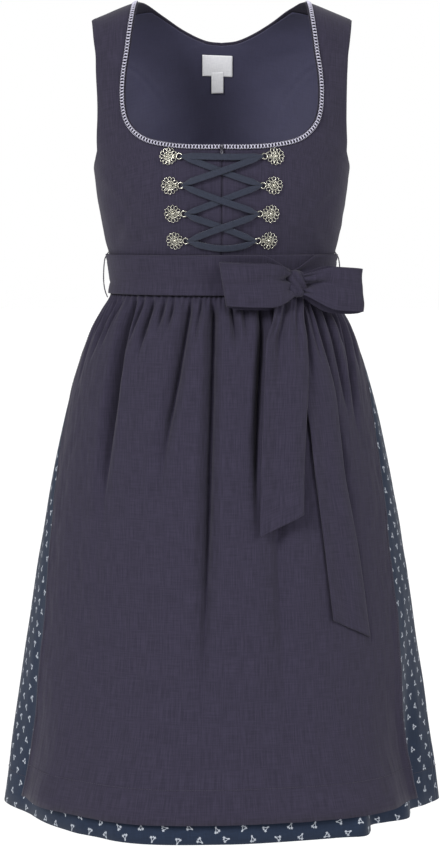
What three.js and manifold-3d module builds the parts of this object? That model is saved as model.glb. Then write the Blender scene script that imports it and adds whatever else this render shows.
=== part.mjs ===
// A knee-length dirndl as it is worn: a sleeveless linen bodice with a laced front, a gathered
// printed cotton skirt, and a linen apron whose sash is tied in a bow at the front.
// Millimetres, +Z up. The origin lies midway between the shoulders that carry the dress,
// the front faces -Y, and +X is the right-hand side for someone who looks at the front.
import * as THREE from "three";
import { mergeVertices } from "three/addons/utils/BufferGeometryUtils.js";
import Module from "manifold-3d";

const wasm = await Module();
wasm.setup();

// Driving sizes
const LINEN = 1.6;
const COTTON = 1.3;
const LINING = 1.0;
const SEAM = 0.2; // each panel stops this far from the line of its seam
const WAIST_Z = -345; // the seam that joins the skirt to the bodice
const BAND_TOP = -315.5;
const BAND_HEIGHT = 48;
const APRON_HEM_Z = -973;
const SKIRT_HEM_Z = -997;
const SHOULDER_SLOPE = 0.42;
const NECK_POINT_X = 101.5; // where the neckline crosses the shoulder
const HOOK_DIAMETER = 21;
const TRIM_WIDTH = 8;
const KNOT_ANGLE = 39.5; // the bow sits this far round from the centre front, in degrees

// Colours and finishes
const finish = (colour, roughness, metalness = 0) =>
  new THREE.MeshStandardMaterial({ color: colour, roughness, metalness });
const linen = finish("#3f3b4b", 0.9);
const printedCotton = finish("#2b3a50", 0.85);
const liningCotton = finish("#302e40", 0.85);
const laceRibbon = finish("#333d4f", 0.8);
const braid = finish("#b4b2c8", 0.8);
const antiqueSilver = finish("#8b8876", 0.4, 0.9);
const labelSatin = finish("#c9c9d2", 0.6);

// Small helpers
const radians = THREE.MathUtils.degToRad;
const mix = THREE.MathUtils.lerp;
const ease = (value, from, to) => {
  const t = THREE.MathUtils.clamp((value - from) / (to - from), 0, 1);
  return t * t * (3 - 2 * t);
};

// A smooth curve through one column of a table, whose rows are in the order of the key column.
function curveThrough(rows, key, column) {
  const slope = (i) => {
    const a = rows[Math.max(i - 1, 0)];
    const b = rows[Math.min(i + 1, rows.length - 1)];
    return (b[column] - a[column]) / (b[key] - a[key]);
  };
  return (at) => {
    const last = rows.length - 2;
    let i = 0;
    while (i < last && (rows[i + 1][key] - at) * (rows[1][key] - rows[0][key]) < 0) i += 1;
    const span = rows[i + 1][key] - rows[i][key];
    const t = THREE.MathUtils.clamp((at - rows[i][key]) / span, 0, 1);
    const [t2, t3] = [t * t, t * t * t];
    return (
      (2 * t3 - 3 * t2 + 1) * rows[i][column] +
      (t3 - 2 * t2 + t) * span * slope(i) +
      (3 * t2 - 2 * t3) * rows[i + 1][column] +
      (t3 - t2) * span * slope(i + 1)
    );
  };
}

// An open sheet of columns by rows. Columns run so that column x row points outwards.
function sheet(columns, rows, pointAt) {
  const vertices = [];
  const triangles = [];
  for (let i = 0; i <= rows; i += 1)
    for (let j = 0; j <= columns; j += 1) vertices.push(pointAt(j / columns, i / rows));
  const index = (i, j) => i * (columns + 1) + j;
  for (let i = 0; i < rows; i += 1)
    for (let j = 0; j < columns; j += 1) {
      triangles.push([index(i, j), index(i, j + 1), index(i + 1, j + 1)]);
      triangles.push([index(i, j), index(i + 1, j + 1), index(i + 1, j)]);
    }
  return { vertices, triangles };
}

// Joins sheets, and merges the points that they share.
function joinSheets(...parts) {
  const vertices = [];
  const triangles = [];
  const known = new Map();
  for (const part of parts) {
    const place = part.vertices.map((v) => {
      const name = [v.x, v.y, v.z].map((n) => n.toFixed(3)).join(" ").replaceAll("-0.000", "0.000");
      if (!known.has(name)) {
        known.set(name, vertices.length);
        vertices.push(v);
      }
      return known.get(name);
    });
    for (const [a, b, c] of part.triangles) triangles.push([place[a], place[b], place[c]]);
  }
  return { vertices, triangles };
}

// The outward normal at each point of a sheet. On the planes x = 0 and y = 0, where panels are
// sewn to each other, it is kept in that plane so that both walls stay clear of the seam.
function normalsOf({ vertices, triangles }, seams) {
  const normals = vertices.map(() => new THREE.Vector3());
  for (const [a, b, c] of triangles) {
    const ab = vertices[b].clone().sub(vertices[a]);
    const face = ab.cross(vertices[c].clone().sub(vertices[a]));
    for (const i of [a, b, c]) normals[i].add(face);
  }
  vertices.forEach((v, i) => {
    if (seams && Math.abs(v.x) < 2 * SEAM) normals[i].x = 0;
    if (seams && Math.abs(v.y) < 2 * SEAM) normals[i].y = 0;
    normals[i].normalize();
  });
  return normals;
}

// A sheet moved out along its normals.
function lifted(part, distance, seams = false) {
  const normals = normalsOf(part, seams);
  return {
    vertices: part.vertices.map((v, i) => v.clone().addScaledVector(normals[i], distance)),
    triangles: part.triangles,
  };
}

// A wall of cloth: the sheet is its outer face, and the inner face lies one thickness inside.
function wall(part, thickness, seams = true) {
  const inner = lifted(part, -thickness, seams).vertices;
  const count = part.vertices.length;
  const triangles = [...part.triangles];
  const open = new Map();
  for (const [a, b, c] of part.triangles) {
    triangles.push([a + count, c + count, b + count]);
    for (const [from, to] of [[a, b], [b, c], [c, a]])
      if (!open.delete(to + " " + from)) open.set(from + " " + to, [from, to]);
  }
  for (const [a, b] of open.values()) {
    triangles.push([b, a, a + count]);
    triangles.push([b, a + count, b + count]);
  }
  const geometry = new THREE.BufferGeometry().setFromPoints([...part.vertices, ...inner]);
  geometry.setIndex(triangles.flat());
  return geometry;
}

// Joins closed geometries into one solid.
function fused(...geometries) {
  const solids = geometries.map((geometry) => {
    const bare = geometry.index ? geometry.toNonIndexed() : geometry.clone();
    bare.deleteAttribute("normal");
    bare.deleteAttribute("uv");
    const merged = mergeVertices(bare, 1e-3);
    return new wasm.Manifold(
      new wasm.Mesh({
        numProp: 3,
        vertProperties: merged.attributes.position.array,
        triVerts: new Uint32Array(merged.index.array),
      }),
    );
  });
  const { vertProperties, triVerts } = solids.reduce((a, b) => a.add(b)).getMesh();
  const geometry = new THREE.BufferGeometry();
  geometry.setAttribute("position", new THREE.BufferAttribute(vertProperties, 3));
  geometry.setIndex(new THREE.BufferAttribute(triVerts, 1));
  return geometry;
}

const dress = new THREE.Group();

function addPiece(name, geometry, material, place = null) {
  const mesh = new THREE.Mesh(geometry, material);
  mesh.name = name;
  if (place) mesh.applyMatrix4(place);
  dress.add(mesh);
}

// Bodice: half the width and the depths in front of and behind the side seams, by height, and
// the power of the rounded outline, which is 2 for an ellipse and more where it is squarer.
// Towards the shoulders the front and the back arch over and meet in the shoulder seam.
const TORSO = [
  { z: -345, width: 134.5, front: 102, back: 90, power: 2 },
  { z: -315, width: 139, front: 107, back: 92, power: 2 },
  { z: -293, width: 144.7, front: 113, back: 94, power: 2.03 },
  { z: -266, width: 149.7, front: 119, back: 97, power: 2.2 },
  { z: -232, width: 155, front: 121, back: 100, power: 2.4 },
  { z: -209, width: 157.6, front: 118, back: 102, power: 2.4 },
  { z: -182, width: 160, front: 112, back: 103, power: 2.4 },
  { z: -124, width: 165, front: 95, back: 101, power: 2.4 },
  { z: -77, width: 169.5, front: 77, back: 93, power: 2.4 },
  { z: -36, width: 173, front: 63, back: 78, power: 2.4 },
  { z: 0, width: 177, front: 52, back: 60, power: 2.4 },
];
const ARCH_HEIGHT = 60;
const torsoWidth = curveThrough(TORSO, "z", "width");
const torsoPower = curveThrough(TORSO, "z", "power");
const torsoDepth = {
  front: curveThrough(TORSO, "z", "front"),
  back: curveThrough(TORSO, "z", "back"),
};

// The share of the depth that is left at a height under the shoulder seam.
const archShare = (z) => Math.sqrt(1 - ((ARCH_HEIGHT + Math.max(z, -ARCH_HEIGHT)) / ARCH_HEIGHT) ** 4);

// A point of the bodice at a distance x from the centre, on the ring that meets the neck at z.
function torsoPoint(half, x, z) {
  const width = torsoWidth(z);
  const across = Math.min(Math.abs(x) / width, 1);
  const round = (1 - across ** torsoPower(z)) ** (1 / torsoPower(z));
  const y = torsoDepth[half](z) * archShare(z) * round + SEAM;
  const past = Math.abs(x) - NECK_POINT_X;
  const slope = 8 * Math.log(1 + Math.exp(past / 8)) * ease(z, -110, 0);
  return new THREE.Vector3(x, half === "front" ? -y : y, z - SHOULDER_SLOPE * slope);
}

// Where each row of a bodice panel starts and ends. The front rows run from the zip, and then
// the neckline, to the side seam, and then the armhole. "side" is the side seam itself.
const FRONT_ROWS = [
  { inX: 0, inZ: -345, outX: "side", outZ: -345 },
  { inX: 0, inZ: -310, outX: "side", outZ: -317 },
  { inX: 0, inZ: -266, outX: "side", outZ: -288 },
  { inX: 0, inZ: -220, outX: "side", outZ: -262 },
  { inX: 0, inZ: -179, outX: "side", outZ: -238 },
  { inX: 30, inZ: -179, outX: "side", outZ: -222 },
  { inX: 60, inZ: -177, outX: "side", outZ: -209 },
  { inX: 88, inZ: -171, outX: 154.4, outZ: -192 },
  { inX: 105, inZ: -159, outX: 153.2, outZ: -174 },
  { inX: 113.5, inZ: -143, outX: 152.7, outZ: -154 },
  { inX: 116.3, inZ: -119, outX: 152.7, outZ: -126 },
  { inX: 115, inZ: -92, outX: 153.3, outZ: -95 },
  { inX: 111.4, inZ: -66, outX: 154.4, outZ: -66 },
  { inX: 108.3, inZ: -40, outX: 156.4, outZ: -40 },
  { inX: 105.5, inZ: -20, outX: 158, outZ: -20 },
  { inX: 103.5, inZ: -7, outX: 159.2, outZ: -7 },
  { inX: 102.1, inZ: -1.5, outX: 159.8, outZ: -1.5 },
  { inX: 101.5, inZ: 0, outX: 160, outZ: 0 },
];

// The back rows run from the centre back, and then the neckline, to the curved princess seam,
// and then the upper armhole. The side-back rows run on from that seam to the side seam.
const BACK_ROWS = [
  { inX: 0, inZ: -345, outX: 46, outZ: -345 },
  { inX: 0, inZ: -296, outX: 49, outZ: -297 },
  { inX: 0, inZ: -246, outX: 54, outZ: -249 },
  { inX: 0, inZ: -196, outX: 60, outZ: -201 },
  { inX: 0, inZ: -150, outX: 67, outZ: -156 },
  { inX: 0, inZ: -112, outX: 80, outZ: -119 },
  { inX: 0, inZ: -78, outX: 103, outZ: -90 },
  { inX: 0, inZ: -47, outX: 130, outZ: -73 },
  { inX: 20, inZ: -44.5, outX: 155.8, outZ: -64 },
  { inX: 44, inZ: -34, outX: 157, outZ: -42 },
  { inX: 68, inZ: -19, outX: 158.2, outZ: -22 },
  { inX: 84.5, inZ: -8, outX: 159.2, outZ: -8 },
  { inX: 95, inZ: -2, outX: 159.8, outZ: -2 },
  { inX: 101.5, inZ: 0, outX: 160, outZ: 0 },
];
const SIDE_BACK_ROWS = [
  { inX: 46, inZ: -345, outX: "side", outZ: -345 },
  { inX: 49, inZ: -297, outX: "side", outZ: -310 },
  { inX: 54, inZ: -249, outX: "side", outZ: -276 },
  { inX: 60, inZ: -201, outX: "side", outZ: -242 },
  { inX: 67, inZ: -156, outX: "side", outZ: -209 },
  { inX: 80, inZ: -119, outX: 155.2, outZ: -176 },
  { inX: 103, inZ: -90.7, outX: 155, outZ: -136 },
  { inX: 130, inZ: -74.2, outX: 155.2, outZ: -100 },
  { inX: 151, inZ: -67.4, outX: 155.6, outZ: -72 },
];
const LINING_ROWS = [
  { inX: 0, inZ: -345, outX: "side", outZ: -345 },
  { inX: 0, inZ: -285, outX: "side", outZ: -301 },
  { inX: 0, inZ: -225, outX: "side", outZ: -257 },
  { inX: 0, inZ: -170, outX: "side", outZ: -211 },
  { inX: 0, inZ: -128, outX: 153.5, outZ: -177 },
  { inX: 0, inZ: -98, outX: 152.5, outZ: -145 },
  { inX: 0, inZ: -72, outX: 152.5, outZ: -114 },
  { inX: 0, inZ: -50, outX: 153, outZ: -84 },
  { inX: 20, inZ: -47.5, outX: 154, outZ: -60 },
  { inX: 44, inZ: -37, outX: 155, outZ: -40 },
  { inX: 68, inZ: -22, outX: 156, outZ: -24 },
  { inX: 88, inZ: -9, outX: 157, outZ: -11 },
];

// Half a bodice panel on the side of the given sign, made of straight rows between its edges.
// Rows are measured as angles round the ring, so that their points lie evenly on the body.
function bodiceSheet(half, rows, side, columns, rowCount, inner = 0, outer = 0) {
  const angleAt = (x, z) => Math.asin(Math.min(x / torsoWidth(z), 1));
  const table = rows.map(({ inX, inZ, outX, outZ }, order) => ({
    order,
    inX: inX + inner,
    inZ,
    outAngle: outX === "side" ? Math.PI / 2 : angleAt(outX - outer, outZ),
    outZ,
  }));
  const [inX, inZ, outAngle, outZ] = ["inX", "inZ", "outAngle", "outZ"].map((column) =>
    curveThrough(table, "order", column),
  );
  const clockwise = (half === "front") === side > 0;
  return sheet(columns, rowCount, (u, v) => {
    const along = clockwise ? u : 1 - u;
    const row = v * (rows.length - 1);
    const z = Math.min(mix(inZ(row), outZ(row), along), 0);
    const angle = mix(angleAt(inX(row), inZ(row)), outAngle(row), along);
    return torsoPoint(half, side * torsoWidth(z) * Math.sin(angle), z);
  });
}

for (const [name, side] of [["left", -1], ["right", 1]]) {
  const front = bodiceSheet("front", FRONT_ROWS, side, 10, FRONT_ROWS.length - 1, SEAM);
  addPiece("bodice_front_" + name, wall(front, LINEN), linen);
  const sideBack = bodiceSheet("back", SIDE_BACK_ROWS, side, 6, SIDE_BACK_ROWS.length - 1, SEAM);
  addPiece("bodice_side_back_" + name, wall(sideBack, LINEN), linen);
}

const backHalves = [-1, 1].map((side) =>
  bodiceSheet("back", BACK_ROWS, side, 6, BACK_ROWS.length - 1, 0, SEAM),
);
addPiece("bodice_back", wall(joinSheets(...backHalves), LINEN), linen);

const LINING_GAP = 2.75;
const liningHalves = [-1, 1].map((side) => bodiceSheet("back", LINING_ROWS, side, 8, 11));
const liningFace = lifted(joinSheets(...liningHalves), -LINEN - LINING_GAP, true);
addPiece("back_lining", wall(liningFace, LINING), liningCotton);

// Neck label with the size tab caught under it, sewn to the lining at the centre back. Both
// are blank.
const LABEL_DEPTH = LINEN + LINING_GAP + LINING + 0.9;
const LABEL_OFFSET = -5.5; // it was sewn on a little to one side
function labelPlate(width, top, height, depth) {
  const plate = sheet(4, 2, (u, v) => {
    const x = LABEL_OFFSET + (0.5 - u) * width;
    const point = torsoPoint("back", x, top - height * (1 - v));
    point.y -= depth;
    return point;
  });
  return wall(plate, 1, false);
}
const label = labelPlate(38, -63, 26, LABEL_DEPTH);
const sizeTab = labelPlate(15, -84, 26, LABEL_DEPTH + 0.4);
addPiece("neck_label", fused(label, sizeTab), labelSatin);

// Braid along the neckline, from the zip to the shoulder seam. It lies on the front panel.
const NECKLINE = FRONT_ROWS.slice(4).map(({ inX, inZ }, order) => ({ order, x: inX, z: inZ }));
const neckX = curveThrough(NECKLINE, "order", "x");
const neckZ = curveThrough(NECKLINE, "order", "z");

// A point of the front at a distance in from the neckline's edge.
function besideNeckline(along, inset) {
  const at = 0.03 + along * (NECKLINE.length - 3);
  const step = 0.02;
  const dx = neckX(at + step) - neckX(at - step);
  const dz = neckZ(at + step) - neckZ(at - step);
  const size = Math.hypot(dx, dz);
  const x = neckX(at) + (inset * dz) / size;
  const z = Math.min(neckZ(at) - (inset * dx) / size, -0.02);
  return torsoPoint("front", Math.max(x, 1.6), z);
}

for (const [name, side] of [["left", -1], ["right", 1]]) {
  const strip = sheet(28, 1, (u, v) => {
    const along = side > 0 ? u : 1 - u;
    const point = besideNeckline(along, 0.4 + (1 - v) * TRIM_WIDTH);
    point.x *= side;
    return point;
  });
  const outerFace = lifted(strip, 1.9);
  addPiece("neck_braid_" + name, wall(outerFace, 1.2, false), braid);
}

// Bodice hooks: a pierced flower rosette with an eyelet on the side of the zip.
const HOOKS = [
  { z: -196.6, rosette: 65, eye: 51.4 },
  { z: -230.8, rosette: 63.2, eye: 49.6 },
  { z: -264.1, rosette: 60.2, eye: 46.4 },
  { z: -296.6, rosette: 57.4, eye: 43.4 },
];
const HOOK_LIFT = 0.5;
const PETALS = 10;
const EYE_WIRE = 0.7;
const EYE_RADIUS = 3.4;

// The frame of the bodice front at a place: x across it, y up along it, and z out of it.
function frontFrame(x, z, lift) {
  const here = torsoPoint("front", x, z);
  const across = torsoPoint("front", x + 2, z).sub(torsoPoint("front", x - 2, z)).normalize();
  const up = torsoPoint("front", x, z + 2).sub(torsoPoint("front", x, z - 2)).normalize();
  const out = across.clone().cross(up).normalize();
  const frame = new THREE.Matrix4().makeBasis(across, out.clone().cross(across), out);
  return frame.setPosition(here.addScaledVector(out, lift));
}

function rosetteHook(eyeOffset) {
  const radius = HOOK_DIAMETER / 2;
  const outline = [];
  for (let k = 0; k < PETALS * 2; k += 1) {
    const angle = (k / (PETALS * 2)) * 2 * Math.PI;
    const reach = k % 2 === 0 ? radius * 0.82 : radius;
    outline.push(new THREE.Vector2(reach * Math.cos(angle), reach * Math.sin(angle)));
  }
  const flower = new THREE.ExtrudeGeometry(new THREE.Shape(outline), {
    depth: 1.1,
    bevelEnabled: false,
  });
  const domeProfile = [[0, 0.5], [7.2, 0.5], [6, 2.1], [2.8, 2.2], [1.8, 3.5], [0, 3.6]];
  const dome = new THREE.LatheGeometry(domeProfile.map(([r, h]) => new THREE.Vector2(r, h)), 8);
  dome.rotateX(Math.PI / 2);
  const eye = new THREE.TorusGeometry(EYE_RADIUS, EYE_WIRE, 4, 10);
  eye.translate(eyeOffset, 0, EYE_WIRE + 0.1);
  const neck = new THREE.BoxGeometry(3, 2.4, 1);
  neck.translate(Math.sign(eyeOffset) * (radius - 1.2), 0, 0.6);
  return fused(flower, dome, eye, neck);
}

HOOKS.forEach(({ z, rosette, eye }, row) => {
  for (const [name, side] of [["left", -1], ["right", 1]]) {
    const place = frontFrame(side * rosette, z, HOOK_LIFT);
    addPiece(`hook_${name}_${row + 1}`, rosetteHook(side * (eye - rosette)), antiqueSilver, place);
  }
});

// Lacing: one flat ribbon that runs across the top, crosses down from eyelet to eyelet, and
// hangs in a shallow bow between the lowest two. Each strand gives its eyelets, the height
// of its face over the bodice where it crosses another, and how far it sags in the middle.
const RIBBON = 8.4;
const RIBBON_THICK = 0.9;
const EYE_LIFT = 3.4;
const STRANDS = [
  { from: [-1, 0], to: [1, 0], cross: 2.6, sag: 1.5 },
  { from: [-1, 0], to: [1, 1], cross: 1.2, sag: 0 },
  { from: [-1, 1], to: [1, 0], cross: 4, sag: 0 },
  { from: [-1, 1], to: [1, 2], cross: 2.6, sag: 0 },
  { from: [-1, 2], to: [1, 1], cross: 1.2, sag: 0 },
  { from: [-1, 2], to: [1, 3], cross: 1.2, sag: 0 },
  { from: [-1, 3], to: [1, 2], cross: 2.6, sag: 0 },
  { from: [-1, 3], to: [1, 3], cross: 1.6, sag: 9 },
];

function strand({ from, to, cross, sag }) {
  const ends = [from, to].map(([side, row]) => [side * HOOKS[row].eye, HOOKS[row].z]);
  const [[x0, z0], [x1, z1]] = ends;
  const run = Math.hypot(x1 - x0, z1 - z0);
  const strip = sheet(8, 1, (u, v) => {
    const pinch = ease(Math.min(u, 1 - u), 0, 0.22);
    const half = mix(1.7, RIBBON / 2, pinch) * (v * 2 - 1);
    const x = mix(x0, x1, u) - (half * (z1 - z0)) / run;
    const z = mix(z0, z1, u) + (half * (x1 - x0)) / run - sag * Math.sin(Math.PI * u);
    const lift = mix(EYE_LIFT, cross, ease(Math.min(u, 1 - u), 0.08, 0.3));
    return new THREE.Vector3(0, 0, lift + RIBBON_THICK).applyMatrix4(frontFrame(x, z, 0));
  });
  return wall(strip, RIBBON_THICK, false);
}

const knuckles = HOOKS.flatMap(({ z, eye }) =>
  [-1, 1].map((side) => {
    const turn = new THREE.CylinderGeometry(1.5, 1.5, 3.4, 6).rotateX(Math.PI / 2);
    return turn.applyMatrix4(frontFrame(side * eye, z, EYE_LIFT - 0.85));
  }),
);
addPiece("lacing", fused(...STRANDS.map(strand), ...knuckles), laceRibbon);

// Zip at the centre front: the slider with its bridge, and the pull tab that swings on it.
const ZIP_TOP = -183;
const PULL_LENGTH = 9.6;
const BRIDGE_HEIGHT = 3.1;
const BRIDGE_RADIUS = 0.4;
const zipFrame = frontFrame(0, ZIP_TOP, 0.5);
const sliderBody = new THREE.BoxGeometry(3.2, 6, 1.2).translate(0, 0, 0.6);
const cheeks = [-1.3, 1.3].map((x) => new THREE.BoxGeometry(0.6, 1.6, 3.2).translate(x, 0, 2));
const bridge = new THREE.CylinderGeometry(BRIDGE_RADIUS, BRIDGE_RADIUS, 2.6, 8);
bridge.rotateZ(Math.PI / 2).translate(0, 0, BRIDGE_HEIGHT);
addPiece("zip_slider", fused(sliderBody, ...cheeks, bridge), antiqueSilver, zipFrame);

const ringOutline = new THREE.Shape().absarc(0, 0, 1.4, 0, 2 * Math.PI);
ringOutline.holes.push(new THREE.Path().absarc(0, 0, 0.75, 0, 2 * Math.PI, true));
const ring = new THREE.ExtrudeGeometry(ringOutline, {
  depth: 1.4,
  bevelEnabled: false,
  curveSegments: 6,
});
ring.translate(0, 0, -0.7).rotateY(Math.PI / 2);
const tab = new THREE.BoxGeometry(1.4, PULL_LENGTH - 1.1, 0.8);
tab.translate(0, -(PULL_LENGTH + 1.1) / 2, 0);
const pullPlace = zipFrame.clone();
pullPlace.setPosition(new THREE.Vector3(0, 0, BRIDGE_HEIGHT).applyMatrix4(zipFrame));
addPiece("zip_pull", fused(tab, ring), antiqueSilver, pullPlace);

// Skirt: half the width of the outline by height. The depth follows from the width.
const SKIRT = [
  { z: -345, width: 134.5 },
  { z: -364, width: 139 },
  { z: -381, width: 149.5 },
  { z: -402, width: 161 },
  { z: -450, width: 178.6 },
  { z: -502, width: 192.6 },
  { z: -576, width: 209.2 },
  { z: -666, width: 225.4 },
  { z: -792, width: 245.6 },
  { z: -926, width: 266.2 },
  { z: -997, width: 276 },
];
const skirtWidth = curveThrough(SKIRT, "z", "width");
const FRONT_FLARE = 24; // how much further the front swings out at the hem than the sides
const skirtDepth = {
  front: (z) => {
    const fall = THREE.MathUtils.clamp((z + 450) / (SKIRT_HEM_Z + 450), 0, 1);
    return 102 + 0.87 * (skirtWidth(z) - 134.5) + FRONT_FLARE * fall ** 1.3;
  },
  back: (z) => 90 + 0.96 * (skirtWidth(z) - 134.5),
};
const SKIRT_ROWS = [-345.4, -364, -380, -402, -435, -480, -545, -630, -740, -860, SKIRT_HEM_Z];
const APRON_ROWS = [-363.8, -374, -388, -408, -436, -475, -530, -600, -690, -790, -890, APRON_HEM_Z];

// A soft trough whose depth is 1 on its line and 0 at one width from it.
const trough = (distance, width) =>
  Math.abs(distance) < width ? (1 + Math.cos((Math.PI * distance) / width)) / 2 : 0;

// A point outside the skirt's outline at an angle round from the centre front, in degrees. The
// skirt and the apron swing out together at the left of the centre front.
function skirtPoint(angle, z, out) {
  const [sin, cos] = [Math.sin(radians(angle)), Math.cos(radians(angle))];
  const width = skirtWidth(z);
  const depth = skirtDepth[cos > 0 ? "front" : "back"](z);
  const normal = new THREE.Vector3(sin / width, -cos / depth, 0).normalize();
  const swing = 14 * trough(angle + 24, 24) * ease(z, -780, SKIRT_HEM_Z);
  return new THREE.Vector3(width * sin, -depth * cos, z).addScaledVector(normal, out + swing);
}

// The apron's side edges, in degrees round from the centre front.
const apronEdge = (z) => {
  const height = THREE.MathUtils.clamp((z - APRON_HEM_Z) / 609, 0, 1);
  return 60.8 + 37.7 * height ** 2.15 + 8 * ease(z, -790, APRON_HEM_Z);
};

// Folds of the apron. "at" is the place at the band and "low" the place at the fold's end, both
// as a share of the way to the side edge. Depth is in mm and width in degrees.
const APRON_FOLDS = [
  { at: -0.84, low: -0.86, depth: 4, width: 5, top: -364, end: -470 },
  { at: -0.71, low: -0.74, depth: 4, width: 4.5, top: -364, end: -430 },
  { at: -0.55, low: -0.62, depth: 13, width: 7, top: -364, end: -640 },
  { at: -0.46, low: -0.5, depth: 4, width: 4.5, top: -364, end: -430 },
  { at: -0.38, low: -0.43, depth: 7, width: 5.5, top: -364, end: -470 },
  { at: -0.3, low: -0.33, depth: 4, width: 4.5, top: -364, end: -420 },
  { at: -0.18, low: -0.29, depth: 9, width: 7.5, top: -364, end: -620 },
  { at: -0.04, low: -0.08, depth: 14, width: 6.5, top: -364, end: -900 },
  { at: 0.06, low: 0.06, depth: 5, width: 5, top: -364, end: -440 },
  { at: 0.14, low: 0.15, depth: 4, width: 4.5, top: -364, end: -430 },
  { at: 0.23, low: 0.18, depth: 9, width: 6.5, top: -364, end: -700 },
  { at: 0.27, low: 0.29, depth: 6, width: 9, top: -520, end: -930 },
  { at: 0.33, low: 0.36, depth: 5, width: 5, top: -364, end: -480 },
  { at: 0.43, low: 0.46, depth: 6, width: 5.5, top: -364, end: -560 },
  { at: 0.53, low: 0.58, depth: 11, width: 6.5, top: -364, end: -640 },
  { at: 0.64, low: 0.66, depth: 5, width: 5, top: -364, end: -470 },
  { at: 0.75, low: 0.78, depth: 6, width: 5.5, top: -364, end: -520 },
  { at: 0.86, low: 0.87, depth: 4, width: 4.5, top: -364, end: -440 },
];
const APRON_DEEPEST = 15;

// How far a fold lies in at a height: it deepens under the band and fades out at its end.
function foldDepth({ depth, top, end }, z) {
  const length = top - end;
  return depth * ease(z, top + 1, top - 0.22 * length) * ease(z, end, end + 0.55 * length);
}

function apronFold(share, z) {
  let sum = 0;
  for (const fold of APRON_FOLDS) {
    const line = mix(fold.at, fold.low, ease(z, fold.top, fold.end));
    sum += foldDepth(fold, z) * trough((share - line) * apronEdge(z), fold.width);
  }
  const gathers = 1.3 * trough(((share * 33 + 40.5) % 1) - 0.5, 0.5) * ease(z, -440, -366);
  const waves = 2.5 * (1 - Math.cos(9 * share + 1)) * ease(z, -640, -973);
  const drawnIn = 13 * ease(Math.abs(share), 0.7, 1) * ease(z, -790, APRON_HEM_Z);
  return Math.min(sum + gathers + waves, APRON_DEEPEST) * ease(Math.abs(share), 1, 0.88) + drawnIn;
}

// The skirt's own outline draws in under the apron, so that the two never touch.
const apronLift = (z) => mix(0, 3.4, ease(z, -540, -700));
const skirtInset = (z) => 3.4 * ease(z, -345, -364) * ease(z, -700, -540);

// The pleats that step back along both sides of the hem, as a share of the radius.
const STEP_PLEATS = [
  { angle: -108, share: 0 },
  { angle: -94, share: 0 },
  { angle: -86, share: -0.022 },
  { angle: -78, share: -0.065 },
  { angle: -69, share: -0.1 },
  { angle: -57.5, share: -0.077 },
  { angle: -44.5, share: -0.05 },
  { angle: -37, share: -0.035 },
  { angle: -27, share: 0 },
  { angle: -10, share: 0 },
  { angle: 5, share: 0 },
  { angle: 20, share: 0 },
  { angle: 33, share: 0.008 },
  { angle: 38, share: 0.014 },
  { angle: 43, share: -0.06 },
  { angle: 48.5, share: -0.145 },
  { angle: 55, share: -0.125 },
  { angle: 62.5, share: -0.088 },
  { angle: 70, share: -0.12 },
  { angle: 76, share: -0.14 },
  { angle: 84, share: -0.07 },
  { angle: 94, share: 0 },
  { angle: 108, share: 0 },
];
const stepShare = curveThrough(STEP_PLEATS, "angle", "share");

// Folds of the skirt behind the apron's edges, uneven in place, depth and width.
const BACK_FOLDS = [];
for (let k = 0; k < 12; k += 1)
  BACK_FOLDS.push({
    angle: 101 + 14.4 * k + 2.2 * Math.sin(2.3 * k + 0.6),
    depth: 19 + 5 * Math.sin(1.7 * k + 1),
    width: 6.6 + 1 * Math.cos(2.6 * k),
    top: -372 - 22 * (1 + Math.sin(2.9 * k)),
  });
const GATHER_PITCH = 180 / 22;

function skirtFold(angle, z) {
  const around = (angle + 360) % 360;
  const grown = ease(z, -360, SKIRT_HEM_Z);
  let sum = 0;
  for (const { angle: line, depth, width, top } of BACK_FOLDS)
    sum += depth * ease(z, top, -640) * (0.62 + 0.38 * grown) * trough(around - line, width);
  const behind = ease(Math.abs(angle), 62, 84);
  const gather = trough(((Math.abs(angle) / GATHER_PITCH) % 1) - 0.5, 0.5);
  sum += 2.6 * gather * ease(z, -450, -380) * ease(z, -360, -372) * behind;
  const under = ease(Math.abs(angle), apronEdge(z) - 2, apronEdge(z) - 12);
  sum += under * (APRON_DEEPEST + 1.5) * ease(z, -362, -392) * mix(1, 0.42, ease(z, -700, -930));
  sum += under * 3 * (1 - Math.cos(radians(angle) * 7 + 0.8)) * ease(z, -800, SKIRT_HEM_Z);
  const low = ease(z, -690, SKIRT_HEM_Z);
  const stepped = ease(Math.abs(angle), 30, 42) * ease(Math.abs(angle), 100, 92);
  const steps = Math.abs(angle) < 108 ? 245 * low * stepShare(angle) : 0;
  return steps - sum * (1 - 0.8 * low * stepped);
}

const rowValue = (rows, v) => {
  const at = v * (rows.length - 1);
  const i = Math.min(Math.floor(at), rows.length - 2);
  return mix(rows[i], rows[i + 1], at - i);
};
const skirtRows = [...SKIRT_ROWS].reverse();
const apronRows = [...APRON_ROWS].reverse();

for (const [name, from, to, columns] of [["front", -90, 90, 36], ["back", 90, 270, 54]]) {
  const panel = sheet(columns, skirtRows.length - 1, (u, v) => {
    const z = rowValue(skirtRows, v);
    const angle = mix(from, to, u);
    const signed = angle > 180 ? angle - 360 : angle;
    const point = skirtPoint(signed, z, skirtFold(signed, z) - skirtInset(z));
    point.y += name === "front" ? -SEAM : SEAM;
    return point;
  });
  addPiece("skirt_" + name, wall(panel, COTTON), printedCotton);
}

// Apron: the gathered panel and the waistband that it hangs from.
const apronPanel = sheet(56, apronRows.length - 1, (u, v) => {
  const z = rowValue(apronRows, v);
  const share = 2 * u - 1;
  return skirtPoint(share * apronEdge(z), z, apronLift(z) - apronFold(share, z));
});
addPiece("apron_panel", wall(apronPanel, LINEN), linen);

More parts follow.
